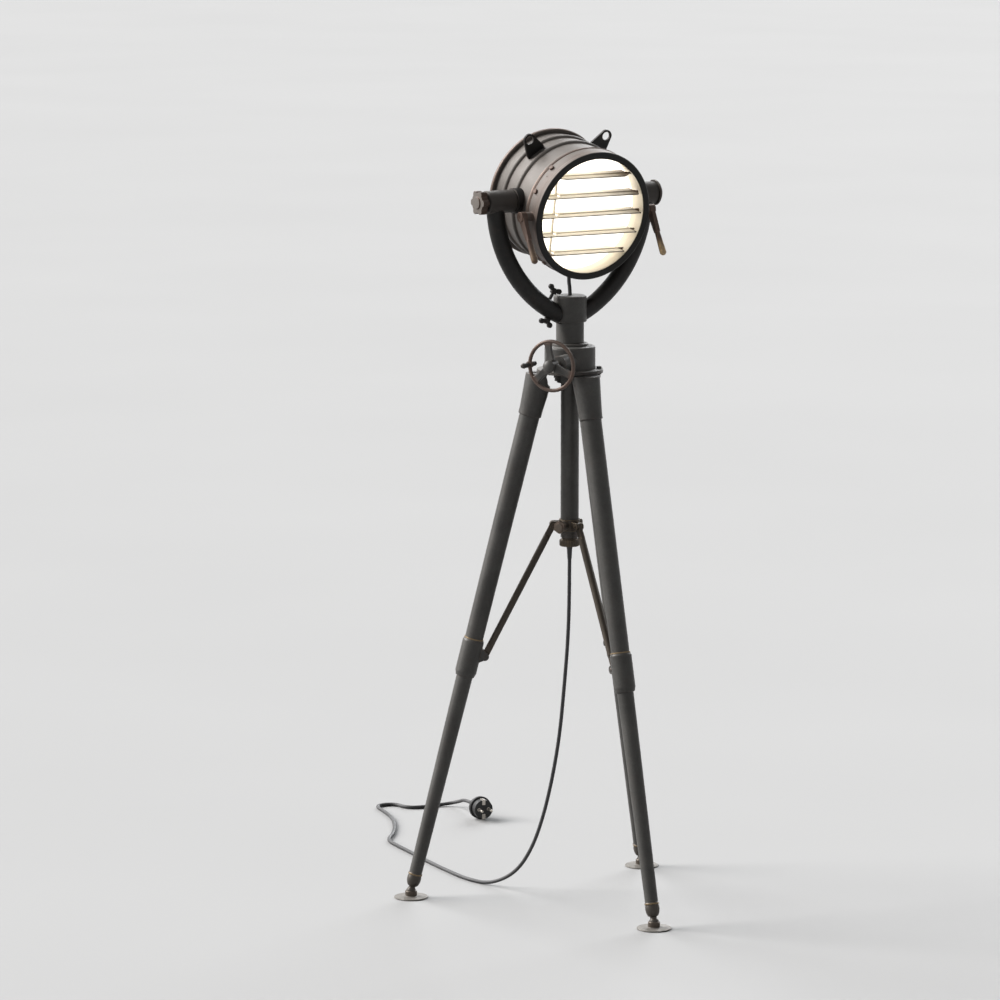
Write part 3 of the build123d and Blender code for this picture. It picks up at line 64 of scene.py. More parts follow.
# Places of the lamp, in metres.
HINGE_R, HINGE_Z = 0.056, 0.922
FOOT_R, BALL_Z = 0.280, 0.012
LEG_AZ = {"a": 150.0, "b": 270.0, "c": 30.0}
PIVOT = Vector((0.0, 0.0, 1.246))
BARREL_R = 0.0198
HEAD_DOWN = math.radians(10.65)
BEAM = Vector((0.0, -math.cos(HEAD_DOWN), -math.sin(HEAD_DOWN)))
HEAD_UP = Vector((0.0, -math.sin(HEAD_DOWN), math.cos(HEAD_DOWN)))
HEAD_AT = PIVOT - HEAD_UP * 0.012
SHUTTER_AT = HEAD_AT + BEAM * 0.058
WHEEL_OUT = Vector((math.cos(math.radians(210)), math.sin(math.radians(210)), 0.0))
WHEEL_SIDE = Vector((math.cos(math.radians(300)), math.sin(math.radians(300)), 0.0))
WHEEL_AT = WHEEL_SIDE * 0.0175 + WHEEL_OUT * 0.100 + Vector((0, 0, 0.963))
WHEEL_CAP = [
    (0.0, 0.0088), (0.0108, 0.0088), (0.0108, 0.0108), (0.0101, 0.0130),
    (0.0083, 0.0150), (0.0055, 0.0164), (0.0027, 0.0171), (0.0, 0.0173),
]
SPOKE_AZ = (100.0, 220.0, 340.0)
SPOKE_CUTS = (
    (0.0085, 0.0088, 0.0044), (0.0130, 0.0074, 0.0038), (0.0200, 0.0062, 0.0032),
    (0.0290, 0.0058, 0.0029), (0.0360, 0.0066, 0.0028), (0.0415, 0.0084, 0.0027),
)
PLUG_DIR = Vector((math.cos(math.radians(260)), math.sin(math.radians(260)), 0.0))
PLUG_FACE = Vector((0.1905, 0.613, 0.0215))
PLUG_TAIL = PLUG_FACE - PLUG_DIR * 0.062
PLUG_CLIPS = ((0.0136, 0.0003, 0.0050, 0.0005), (0.0181, -0.0065, 0.0006, 0.0072))
CLIP_HALF = 0.0032
CAP_FOOT = 0.632
TEE_TOP = 1.075
GLAND_TOP = HEAD_AT - HEAD_UP * 0.106 + BEAM * 0.021
GLAND_FOOT = HEAD_AT - HEAD_UP * 0.130 + BEAM * 0.021
CAMERA_AT = (-4.8355, -7.7972, 2.1697)
CAMERA_LOOK = Vector((0.5093, 0.8462, -0.1568))
FLOOR_HALF = 60

# Where one finish gives way to another: distances down a leg or back from its ball, from the
# axis of a pad, a wheel or the shutter, and along the beam or from its axis.
COLLAR_LIP = (0.4665, 0.4690)
LEG_RING = (0.0332, 0.0306)
ANKLE = (0.0300, 0.0292)
PAD_HUB = (0.0122, 0.0112)
PAD_TOP = (0.0040, 0.0048)
WHEEL_RIM = (0.034, 0.040)
LEVER_TIP = (0.056, 0.072)
DRUM_LINE = (0.0372, 0.0396)
RING_SEAM = (0.0428, 0.0472)
SEAM_GROOVE = (0.0444, 0.0456)
RING_WASH = (0.044, 0.066)
RIM_FACE = (0.0770, 0.0785)
DRUM_INSIDE = (0.1070, 0.1064)
COVER_LIP = (0.1135, 0.1148)
# The next two spans place painted shade on the slats: their darker ends, and the ring's painted shadow
# from the upper right.
SLAT_ENDS = (0.0955, 0.0985)
RING_SHADOW_REACH = (0.062, 0.125)
LENS_FADE = (0.040, 0.106)

# Colours of painted shade on the slats: the ring's painted shadow at the upper right, and the shaded
# slat ends.
RING_SHADOW_TINT = (0.085, 0.052, 0.030)
SLAT_END_SHADE = (0.075, 0.045, 0.028)

# The cord's route, point for point as in the solid.
CORD_ROUTE = [
    (0, 0, 0.640),
    (0, 0, 0.560),
    (-0.001, 0.002, 0.470),
    (-0.005, 0.009, 0.378),
    (-0.009, 0.017, 0.292),
    (-0.016, 0.030, 0.212),
    (-0.025, 0.046, 0.140),
    (-0.036, 0.067, 0.078),
    (-0.052, 0.097, 0.030),
    (-0.076, 0.144, 0.0034),
    (-0.092, 0.200, 0.0034),
    (-0.088, 0.275, 0.0034),
    (-0.081, 0.355, 0.0034),
    (-0.070, 0.438, 0.0034),
    (-0.063, 0.500, 0.0034),
    (-0.057, 0.549, 0.0034),
    (-0.019, 0.592, 0.0034),
    (0.017, 0.648, 0.0034),
    (0.046, 0.708, 0.0034),
    (0.063, 0.768, 0.0034),
    (0.072, 0.822, 0.0034),
    (0.113, 0.818, 0.0034),
    (0.116, 0.775, 0.0034),
    (0.148, 0.763, 0.0034),
    (0.190, 0.764, 0.0034),
    (0.211, 0.746, 0.009),
    tuple(PLUG_TAIL - PLUG_DIR * 0.036),
    tuple(PLUG_TAIL + PLUG_DIR * 0.012),
]


class LampFinish(bpy.types.PropertyGroup):
    """Colours of the lamp's finishes."""

    graphite: FloatVectorProperty(
        name="Graphite", description="Paint of the head and the column", subtype="COLOR",
        default=(0.152, 0.137, 0.125), min=0, max=1,
    )
    leg: FloatVectorProperty(
        name="Legs", description="Paint of the tripod legs", subtype="COLOR",
        default=(0.112, 0.109, 0.103), min=0, max=1,
    )
    black: FloatVectorProperty(
        name="Black", description="Paint of the yoke and the front rim", subtype="COLOR",
        default=(0.022, 0.021, 0.020), min=0, max=1,
    )
    copper: FloatVectorProperty(
        name="Copper", description="Metal that shows where the paint is worn", subtype="COLOR",
        default=(0.26, 0.172, 0.134), min=0, max=1,
    )
    bronze: FloatVectorProperty(
        name="Bronze", description="Spreader, struts and screws", subtype="COLOR",
        default=(0.098, 0.080, 0.064), min=0, max=1,
    )
    gold: FloatVectorProperty(
        name="Gold", description="Rubbed grips and thin rings", subtype="COLOR",
        default=(0.62, 0.46, 0.27), min=0, max=1,
    )
    steel: FloatVectorProperty(
        name="Steel", description="Pads, mast and contacts", subtype="COLOR",
        default=(0.50, 0.465, 0.42), min=0, max=1,
    )
    ivory: FloatVectorProperty(
        name="Ivory", description="Enamel of the slats and the ring's inside", subtype="COLOR",
        default=(0.89, 0.84, 0.74), min=0, max=1,
    )
    glow: FloatVectorProperty(
        name="Glow", description="Light of the lens", subtype="COLOR",
        default=(1.0, 0.95, 0.86), min=0, max=1,
    )
    glow_strength: FloatProperty(
        name="Glow strength", description="How bright the lens is", default=2.1, min=0, max=20
    )
    rubber: FloatVectorProperty(
        name="Rubber", description="Cord and plug", subtype="COLOR",
        default=(0.030, 0.030, 0.031), min=0, max=1,
    )


class LampCord(bpy.types.PropertyGroup):
    """Sizes of the two leads."""

    diameter: FloatProperty(
        name="Diameter", description="Outside of the cord", default=0.0066, min=0.003, max=0.02,
        unit="LENGTH",
    )
    sleeve: FloatProperty(
        name="Sleeve", description="Length of the sleeve under the cap", default=0.024, min=0.01,
        max=0.06, unit="LENGTH",
    )


class LampStudio(bpy.types.PropertyGroup):
    """Floor, light and camera."""

    floor: FloatVectorProperty(
        name="Floor", description="Colour of the floor", subtype="COLOR",
        default=(0.50, 0.50, 0.50), min=0, max=1,
    )
    bounce: FloatProperty(
        name="Bounce", description="Share of the floor's colour that lights the lamp",
        default=0.18, min=0, max=1, subtype="FACTOR",
    )
    wall: FloatProperty(
        name="Wall", description="Tone of the backdrop behind the floor",
        default=0.62, min=0, max=1,
    )
    sky: FloatProperty(
        name="Sky", description="Strength of the even light", default=0.07, min=0, max=2,
    )
    key: FloatProperty(
        name="Key", description="Strength of the light from the left", default=3.3, min=0, max=20,
    )
    rim: FloatProperty(
        name="Rim", description="Strength of the light from the right rear",
        default=1.8, min=0, max=20,
    )
    top: FloatProperty(
        name="Top", description="Strength of the light from the upper left rear",
        default=2.2, min=0, max=20,
    )
    lens: FloatProperty(
        name="Lens", description="Focal length", default=190.6, min=20, max=400, unit="CAMERA",
    )


def polar(radius, azimuth, z=0.0):
    """Point at a radius and an azimuth round the column."""
    a = math.radians(azimuth)
    return Vector((radius * math.cos(a), radius * math.sin(a), z))


def leg_line(tag):
    """Hinge of a leg and the direction down it."""
    hinge = polar(HINGE_R, LEG_AZ[tag], HINGE_Z)
    ball = polar(FOOT_R, LEG_AZ[tag], BALL_Z)
    return hinge, (ball - hinge).normalized()


class Finish:
    """One material's nodes, with the steps that the finishes share."""

    def __init__(self, name):
        self.material = bpy.data.materials.new(name)
        self.material.use_nodes = True
        self.tree = self.material.node_tree
        self.shader = self.tree.nodes["Principled BSDF"]
        self.place = self.tree.nodes.new("ShaderNodeTexCoord")

    def add(self, kind, settings=None, **inputs):
        node = self.tree.nodes.new(kind)
        for key, value in (settings or {}).items():
            setattr(node, key, value)
        for key, value in inputs.items():
            self.put(value, node.inputs[key.replace("_", " ")])
        return node

    def put(self, value, socket):
        if isinstance(value, bpy.types.NodeSocket):
            self.tree.links.new(value, socket)
        elif socket.type == "RGBA" and len(value) == 3:
            socket.default_value = (*value, 1.0)
        else:
            socket.default_value = value

    def set(self, **inputs):
        for key, value in inputs.items():
            self.put(value, self.shader.inputs[key.replace("_", " ")])

    def math(self, operation, a, b=0.0, clamp=False):
        node = self.add("ShaderNodeMath", {"operation": operation, "use_clamp": clamp})
        self.put(a, node.inputs[0])
        self.put(b, node.inputs[1])
        return node.outputs[0]

    def vector(self, operation, a, b=(0, 0, 0)):
        node = self.add("ShaderNodeVectorMath", {"operation": operation})
        self.put(a, node.inputs[0])
        self.put(b, node.inputs[1])
        return node

    def ramp(self, value, low, high, to_low=0.0, to_high=1.0):
        node = self.add("ShaderNodeMapRange", {"clamp": True})
        for socket, given in zip(node.inputs[:5], (value, low, high, to_low, to_high)):
            self.put(given, socket)
        return node.outputs[0]

    def mix(self, factor, a, b):
        node = self.add("ShaderNodeMix", {"data_type": "RGBA"})
        self.put(factor, node.inputs[0])
        self.put(a, node.inputs[6])
        self.put(b, node.inputs[7])
        return node.outputs[2]

    def blend(self, factor, a, b):
        node = self.add("ShaderNodeMix", {"data_type": "FLOAT"})
        self.put(factor, node.inputs[0])
        self.put(a, node.inputs[2])
        self.put(b, node.inputs[3])
        return node.outputs[0]

    def noise(self, scale, detail=4.0, rough=0.55, stretch=None):
        where = self.place.outputs["Object"]
        if stretch:
            where = self.vector("MULTIPLY", where, stretch).outputs[0]
        node = self.add("ShaderNodeTexNoise", Vector=where, Scale=scale, Detail=detail, Roughness=rough)
        return node.outputs[0]

    def from_point(self, origin):
        """Vector from an origin to the point that is shaded."""
        return self.vector("SUBTRACT", self.place.outputs["Object"], tuple(origin)).outputs[0]

    def reach(self, origin, axis):
        """Distance from an origin along an axis."""
        return self.vector("DOT_PRODUCT", self.from_point(origin), tuple(axis)).outputs["Value"]

    def radius(self, origin, axis):
        """Distance from an axis through an origin."""
        gone = self.from_point(origin)
        on_axis = self.vector("PROJECT", gone, tuple(axis)).outputs[0]
        off = self.vector("SUBTRACT", gone, on_axis).outputs[0]
        return self.vector("LENGTH", off).outputs["Value"]

    def band(self, value, low, high, soft=0.0004):
        """One between two values, zero outside."""
        up = self.ramp(value, low - soft, low + soft)
        down = self.ramp(value, high - soft, high + soft, 1.0, 0.0)
        return self.math("MULTIPLY", up, down)

    def edges(self, radius):
        """Normal with rounded edges, and a mask of those edges."""
        soft = self.add("ShaderNodeBevel", {"samples": 6}, Radius=radius)
        plain = self.add("ShaderNodeNewGeometry")
        dot = self.vector("DOT_PRODUCT", soft.outputs[0], plain.outputs["Normal"]).outputs["Value"]
        return soft.outputs[0], self.ramp(dot, 0.995, 0.88)

    def bump(self, height, strength, distance, normal=None):
        node = self.add("ShaderNodeBump", Height=height, Strength=strength, Distance=distance)
        if normal is not None:
            self.put(normal, node.inputs["Normal"])
        self.set(Normal=node.outputs[0])


def shade(colour, factor):
    """A colour made lighter or darker."""
    return tuple(min(1.0, c * factor) for c in colour)


def worn_paint(name, base, worn, edge=0.0014, wear=1.0, rough=0.46, zones=()):
    """Satin paint over metal, mottled and rubbed through at its edges.

    zones is a list of functions that take the finish and give a mask, a colour, a metallic
    value and a roughness for a differently finished area.
    """
    f = Finish(name)
    cloud = f.ramp(f.noise(14, 5, 0.6), 0.32, 0.68)
    grain = f.noise(900, 3, 0.6)
    stain = f.ramp(f.noise(55, 6, 0.65), 0.50, 0.72)
    colour = f.mix(cloud, shade(base, 0.78), shade(base, 1.22))
    colour = f.mix(f.math("MULTIPLY", stain, 0.14), colour, shade(worn, 0.50))
    speck = f.ramp(f.noise(260, 4, 0.7), 0.35, 0.65)
    colour = f.mix(f.math("MULTIPLY", speck, 0.30), colour, shade(base, 0.55))
    normal, edge_mask = f.edges(edge)
    patchy = f.ramp(f.noise(120, 5, 0.7), 0.36, 0.60, 0.25, 1.0)
    rubbed = f.math("MULTIPLY", f.math("MULTIPLY", edge_mask, patchy), wear, clamp=True)
    colour = f.mix(rubbed, colour, worn)
    metal = f.blend(rubbed, 0.20, 0.80)
    gloss = f.blend(f.ramp(f.noise(70, 5, 0.6), 0.3, 0.7), rough - 0.07, rough + 0.09)
    gloss = f.blend(rubbed, gloss, 0.38)
    for zone in zones:
        mask, tint, metallic, roughness = zone(f)
        colour = f.mix(mask, colour, tint)
        metal = f.blend(mask, metal, metallic)
        gloss = f.blend(mask, gloss, roughness)
    f.set(Base_Color=colour, Metallic=metal, Roughness=gloss, Specular_IOR_Level=0.3)
    f.bump(f.math("ADD", grain, f.math("MULTIPLY", cloud, 0.6)), 0.22, 0.0003, normal)
    return f.material


def bare_metal(
    name, base, tarnish, rough=0.36, edge=0.0010, share=0.6, stretch=None, metal=0.9, zones=(),
):
    """Bare metal with tarnish in patches, brighter edges and zones as in worn_paint."""
    f = Finish(name)
    patch = f.ramp(f.noise(70, 6, 0.65), 0.38, 0.66)
    fine = f.noise(650, 4, 0.6, stretch)
    colour = f.mix(f.math("MULTIPLY", patch, share), base, tarnish)
    normal, edge_mask = f.edges(edge)
    colour = f.mix(f.math("MULTIPLY", edge_mask, 0.6), colour, shade(base, 1.35))
    gloss = f.blend(patch, rough, rough + 0.18)
    for zone in zones:
        mask, tint, metallic, roughness = zone(f)
        colour = f.mix(mask, colour, tint)
        metal = f.blend(mask, metal, metallic)
        gloss = f.blend(mask, gloss, roughness)
    f.set(Base_Color=colour, Metallic=metal, Roughness=gloss)
    f.bump(fine, 0.16, 0.0003, normal)
    return f.material


def dust_and_sheen(up, low, high, share, tint):
    """Zone that paints faces turned one way paler in patches: pale dust where they look up, and a
    painted highlight where they face the light.
    """

    def zone(f):
        facing = f.vector("DOT_PRODUCT", f.place.outputs["Normal"], tuple(up)).outputs["Value"]
        patch = f.ramp(f.noise(35, 5, 0.65), 0.25, 0.70, 0.6 * share, share)
        return f.math("MULTIPLY", f.ramp(facing, low, high), patch), tint, 0.0, 0.6

    return zone


def enamel(name, base):
    """Smooth ivory enamel, with the ring's shadow painted in brown at the upper right and painted shade
    in darker brown at the ends of the slats.
    """
    f = Finish(name)
    blotch = f.ramp(f.noise(60, 6, 0.7), 0.40, 0.70)
    # Painted shadow of the ring, deepest towards the upper right, its depth mottled by noise.
    corner = f.reach(HEAD_AT, SIDE + HEAD_UP * 0.9)
    depth = f.math("ADD", f.math("MULTIPLY", blotch, 0.2), 0.8)
    ring_shadow = f.math("MULTIPLY", f.ramp(corner, *RING_SHADOW_REACH), depth)
    colour = f.mix(ring_shadow, base, RING_SHADOW_TINT)
    # Painted shade, darker brown, at the ends of the slats.
    colour = f.mix(f.ramp(f.radius(HEAD_AT, BEAM), *SLAT_ENDS), colour, SLAT_END_SHADE)
    f.set(Base_Color=colour, Roughness=f.blend(blotch, 0.38, 0.52))
    f.bump(f.noise(300, 3, 0.5), 0.10, 0.0003)
    return f.material


def rubber(name, base, fine=700):
    """Matt rubber with a faint pebbled skin."""
    f = Finish(name)
    cloud = f.ramp(f.noise(40, 4, 0.6), 0.35, 0.65)
    colour = f.mix(cloud, shade(base, 0.8), shade(base, 1.5))
    f.set(Base_Color=colour, Roughness=f.blend(cloud, 0.48, 0.62))
    f.bump(f.noise(fine, 3, 0.6), 0.25, 0.0002)
    return f.material


def lit_glass(name, colour, strength):
    """Opal glass with the lamp on behind it, brightest in the middle."""
    f = Finish(name)
    fade = f.ramp(f.radius(HEAD_AT, BEAM), *LENS_FADE, 1.0, 0.78)
    cloud = f.ramp(f.noise(30, 3, 0.5), 0.2, 0.8, 0.94, 1.0)
    level = f.math("MULTIPLY", f.math("MULTIPLY", fade, cloud), strength)
    f.set(Base_Color=(0.9, 0.88, 0.82), Roughness=0.25, Emission_Color=colour, Emission_Strength=level)
    return f.material


def dress(material, *nodes):
    """Puts a material on nodes of the frame and smooths what is round."""
    for name in nodes:
        mesh = NODES[name].data
        mesh.materials.clear()
        mesh.materials.append(material)
        mesh.shade_smooth()
        mesh.set_sharp_from_angle(angle=math.radians(32))


def new_piece(name, mesh, body, material):
    """Links a mesh as a piece that rides on a body."""
    piece = bpy.data.objects.new(name, mesh)
    bpy.context.scene.collection.objects.link(piece)
    mesh.materials.append(material)
    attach(piece, body)
    return piece


def soften(piece, width, segments):
    """Rounds the sharp edges of a piece."""
    rounded = piece.modifiers.new("edges", "BEVEL")
    rounded.width = width
    rounded.segments = segments
    rounded.limit_method = "ANGLE"


def lathe(name, profile, origin, axis, steps=40, closed=True):
    """Mesh turned from a profile of radius and height about an axis."""
    turn = axis.to_track_quat("Z", "Y").to_matrix().to_4x4()
    turn.translation = origin
    shape = bmesh.new()
    ring = [shape.verts.new((r, 0.0, h)) for r, h in profile]
    first = 0 if closed else 1
    edges = [shape.edges.new((ring[i], ring[i - 1])) for i in range(first, len(ring))]
    bmesh.ops.spin(
        shape, geom=ring + edges, cent=(0, 0, 0), axis=(0, 0, 1), angle=math.tau, steps=steps,
        use_merge=True,
    )
    bmesh.ops.remove_doubles(shape, verts=shape.verts, dist=1e-6)
    bmesh.ops.recalc_face_normals(shape, faces=shape.faces)
    shape.transform(turn)
    mesh = bpy.data.meshes.new(name)
    shape.to_mesh(mesh)
    shape.free()
    mesh.shade_smooth()
    mesh.set_sharp_from_angle(angle=math.radians(35))
    return mesh


def smooth_line(name, route):
    """Curve of one smooth spline on a route's points."""
    curve = bpy.data.curves.new(name, "CURVE")
    curve.dimensions = "3D"
    spline = curve.splines.new("NURBS")
    spline.points.add(len(route) - 1)
    for point, place in zip(spline.points, route):
        point.co = (*place, 1.0)
    spline.order_u = 3
    spline.use_endpoint_u = True
    spline.resolution_u = 10
    curve.use_fill_caps = True
    return curve


class SEARCHLIGHT_OT_stage(bpy.types.Operator):
    """Make the floor, the lights and the camera"""

    bl_idname = "searchlight.stage"
    bl_label = "Studio"

    def execute(self, context):
        studio = context.scene.lamp_studio
        mesh = bpy.data.meshes.new("studio_floor")
        shape = bmesh.new()
        bmesh.ops.create_grid(shape, x_segments=1, y_segments=1, size=FLOOR_HALF)
        shape.to_mesh(mesh)
        shape.free()
        floor = bpy.data.objects.new("studio_floor", mesh)
        context.scene.collection.objects.link(floor)
        f = Finish("studio_floor")
        cloud = f.ramp(f.noise(0.8, 2, 0.5), 0.3, 0.7)
        pale = f.mix(cloud, shade(studio.floor, 0.985), shade(studio.floor, 1.015))
        ray = f.add("ShaderNodeLightPath").outputs
        mirrored = f.math("MAXIMUM", ray["Is Glossy Ray"], ray["Is Transmission Ray"])
        seen = f.math("MAXIMUM", ray["Is Camera Ray"], mirrored)
        f.set(Base_Color=f.mix(seen, shade(studio.floor, studio.bounce), pale), Roughness=0.85)
        mesh.materials.append(f.material)

        world = bpy.data.worlds.new("studio_sky")
        context.scene.world = world
        world.use_nodes = True
        nodes = world.node_tree.nodes
        links = world.node_tree.links
        light = nodes["Background"]
        light.inputs["Color"].default_value = (0.94, 0.97, 1.0, 1.0)
        light.inputs["Strength"].default_value = studio.sky
        wall = nodes.new("ShaderNodeBackground")
        wall.inputs["Color"].default_value = (*(studio.wall,) * 3, 1.0)
        path = nodes.new("ShaderNodeLightPath")
        seen = path.outputs["Is Camera Ray"]
        for kind in ("Is Glossy Ray", "Is Transmission Ray"):
            either = nodes.new("ShaderNodeMath")
            either.operation = "MAXIMUM"
            links.new(seen, either.inputs[0])
            links.new(path.outputs[kind], either.inputs[1])
            seen = either.outputs[0]
        choice = nodes.new("ShaderNodeMixShader")
        links.new(seen, choice.inputs[0])
        links.new(light.outputs[0], choice.inputs[1])
        links.new(wall.outputs[0], choice.inputs[2])
        links.new(choice.outputs[0], nodes["World Output"].inputs["Surface"])

        for name, place, strength, spread, tint in (
            ("key_light", (-2.5, 2.0, 1.8), studio.key, 34, (1.0, 0.98, 0.96)),
            ("rim_light", (2.2, 1.7, 1.3), studio.rim, 36, (0.96, 0.98, 1.0)),
            ("top_light", (-0.6, 2.2, 2.0), studio.top, 34, (1.0, 1.0, 1.0)),
        ):
            lamp = bpy.data.lights.new(name, "SUN")
            lamp.energy = strength
            lamp.angle = math.radians(spread)
            lamp.color = tint
            sun = bpy.data.objects.new(name, lamp)
            sun.location = place
            sun.rotation_mode = "QUATERNION"
            sun.rotation_quaternion = (-Vector(place)).to_track_quat("-Z", "Y")
            context.scene.collection.objects.link(sun)

        camera = bpy.data.cameras.new("camera")
        camera.sensor_width = 36.0
        camera.lens = studio.lens
        camera.clip_end = 200.0
        view = bpy.data.objects.new("camera", camera)
        view.location = CAMERA_AT
        view.rotation_mode = "QUATERNION"
        view.rotation_quaternion = CAMERA_LOOK.to_track_quat("-Z", "Y")
        context.scene.collection.objects.link(view)
        context.scene.camera = view
        context.scene.view_settings.view_transform = "Standard"
        return {"FINISHED"}


class SEARCHLIGHT_OT_power_cord(bpy.types.Operator):
    """Lay the power cord from the cap to the plug, with its sleeve"""

    bl_idname = "searchlight.power_cord"
    bl_label = "Power cord"

    def execute(self, context):
        sizes = context.scene.lamp_cord
        skin = rubber("cord_rubber", shade(context.scene.lamp_finish.rubber, 2.2), 900)
        curve = smooth_line("cord_line", CORD_ROUTE)
        curve.bevel_depth = sizes.diameter / 2
        curve.bevel_resolution = 5
        curve.materials.append(skin)
        cord = bpy.data.objects.new("cord_line", curve)
        context.scene.collection.objects.link(cord)
        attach(cord, "stand")
        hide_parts("power_cord")
        r = sizes.diameter / 2
        end = CAP_FOOT - sizes.sleeve
        profile = [
            (r + 0.0001, CAP_FOOT), (r + 0.0020, CAP_FOOT), (r + 0.0020, CAP_FOOT - 0.003),
            (r + 0.0015, CAP_FOOT - 0.005), (r + 0.0005, end + 0.001), (r + 0.0001, end),
        ]
        sleeve = lathe("cord_sleeve", profile, Vector((0, 0, 0)), UP)
        new_piece("cord_sleeve", sleeve, "stand", skin)
        return {"FINISHED"}


class SEARCHLIGHT_OT_head_lead(bpy.types.Operator):
    """Make the short lead between the tee and the drum"""

    bl_idname = "searchlight.head_lead"
    bl_label = "Head lead"

    def execute(self, context):
        bend = GLAND_FOOT
        route = [tuple(GLAND_TOP), tuple(bend), (0, 0, TEE_TOP + 0.010), (0, 0, TEE_TOP - 0.014)]
        curve = smooth_line("lead_line", route)
        curve.bevel_depth = context.scene.lamp_cord.diameter / 2
        curve.bevel_resolution = 5
        line = bpy.data.objects.new("lead_line", curve)
        context.scene.collection.objects.link(line)
        mesh = bpy.data.meshes.new_from_object(line.evaluated_get(context.evaluated_depsgraph_get()))
        bpy.data.objects.remove(line)
        mesh.name = "lead_tube"
        mesh.shade_smooth()
        lead = bpy.data.objects.new("lead_tube", mesh)
        context.scene.collection.objects.link(lead)
        mesh.materials.clear()
        mesh.materials.append(rubber("lead_rubber", context.scene.lamp_finish.rubber, 900))
        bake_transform(lead)
        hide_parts("head_lead")
        return {"FINISHED"}


class SEARCHLIGHT_OT_plug(bpy.types.Operator):
    """Finish the plug and add its earth clips"""

    bl_idname = "searchlight.plug"
    bl_label = "Plug"

    def execute(self, context):
        look = context.scene.lamp_finish
        dress(rubber("plug_rubber", shade(look.rubber, 0.7), 500), "plug")
        pins = bare_metal("plug_metal", look.steel, shade(look.steel, 0.7), 0.25)
        dress(pins, "plug_pins")
        shape = bmesh.new()
        for way in (1, -1):
            up = Vector((0, 0, way))
            side = PLUG_DIR.cross(up)
            for out, ahead, reach, run in PLUG_CLIPS:
                made = bmesh.ops.create_cube(shape, size=2.0)["verts"]
                turn = Matrix((side, up, PLUG_DIR)).transposed().to_4x4()
                turn.translation = PLUG_FACE + up * out + PLUG_DIR * ahead
                bmesh.ops.scale(shape, vec=(CLIP_HALF, reach, run), verts=made)
                bmesh.ops.transform(shape, matrix=turn, verts=made)
        bmesh.ops.recalc_face_normals(shape, faces=shape.faces)
        mesh = bpy.data.meshes.new("plug_clips")
        shape.to_mesh(mesh)
        shape.free()
        clips = new_piece("plug_clips", mesh, "stand", pins)
        soften(clips, 0.0004, 2)
        return {"FINISHED"}


class SEARCHLIGHT_OT_legs(bpy.types.Operator):
    """Paint the legs and their thin rings, and finish the pads"""

    bl_idname = "searchlight.legs"
    bl_label = "Legs"

    def execute(self, context):
        look = context.scene.lamp_finish
        run = math.hypot(FOOT_R - HINGE_R, HINGE_Z - BALL_Z)
        dress(
            worn_paint("leg_paint", look.leg, look.copper, wear=0.55),
            *("leg_" + part + "_" + tag for part in ("socket", "upper") for tag in "abc"),
        )
        for tag in "abc":
            hinge, down = leg_line(tag)

            def ring(f, hinge=hinge, down=down):
                line = f.band(f.reach(hinge, down), *(run - back for back in LEG_RING))
                return line, shade(look.gold, 0.38), 0.6, 0.45

            def ankle(f, hinge=hinge, down=down):
                dark = f.ramp(f.reach(hinge, down), *(run - back for back in ANKLE), 0.0, 0.6)
                return dark, shade(look.bronze, 0.8), 0.6, 0.42

            def lip(f, hinge=hinge, down=down):
                line = f.band(f.reach(hinge, down), *COLLAR_LIP)
                return line, shade(look.gold, 0.4), 0.6, 0.45

            def pad_hub(f, pad=polar(FOOT_R, LEG_AZ[tag])):
                inner = f.ramp(f.radius(pad, UP), *PAD_HUB)
                above = f.ramp(f.reach(pad, UP), *PAD_TOP)
                return f.math("MULTIPLY", inner, above), look.bronze, 0.6, 0.42

            lower = worn_paint(
                "leg_paint_low_" + tag, look.leg, look.copper, wear=0.6, zones=(ankle, ring),
            )
            dress(lower, "leg_lower_" + tag)
            collar = worn_paint(
                "leg_paint_collar_" + tag, look.leg, look.copper, wear=0.8, zones=(lip,),
            )
            dress(collar, "leg_collar_" + tag)
            foot = bare_metal(
                "pad_metal_" + tag, shade(look.steel, 0.48), shade(look.steel, 0.28), 0.5,
                share=0.5, metal=0.4, zones=(pad_hub,),
            )
            dress(foot, "foot_" + tag)
        return {"FINISHED"}


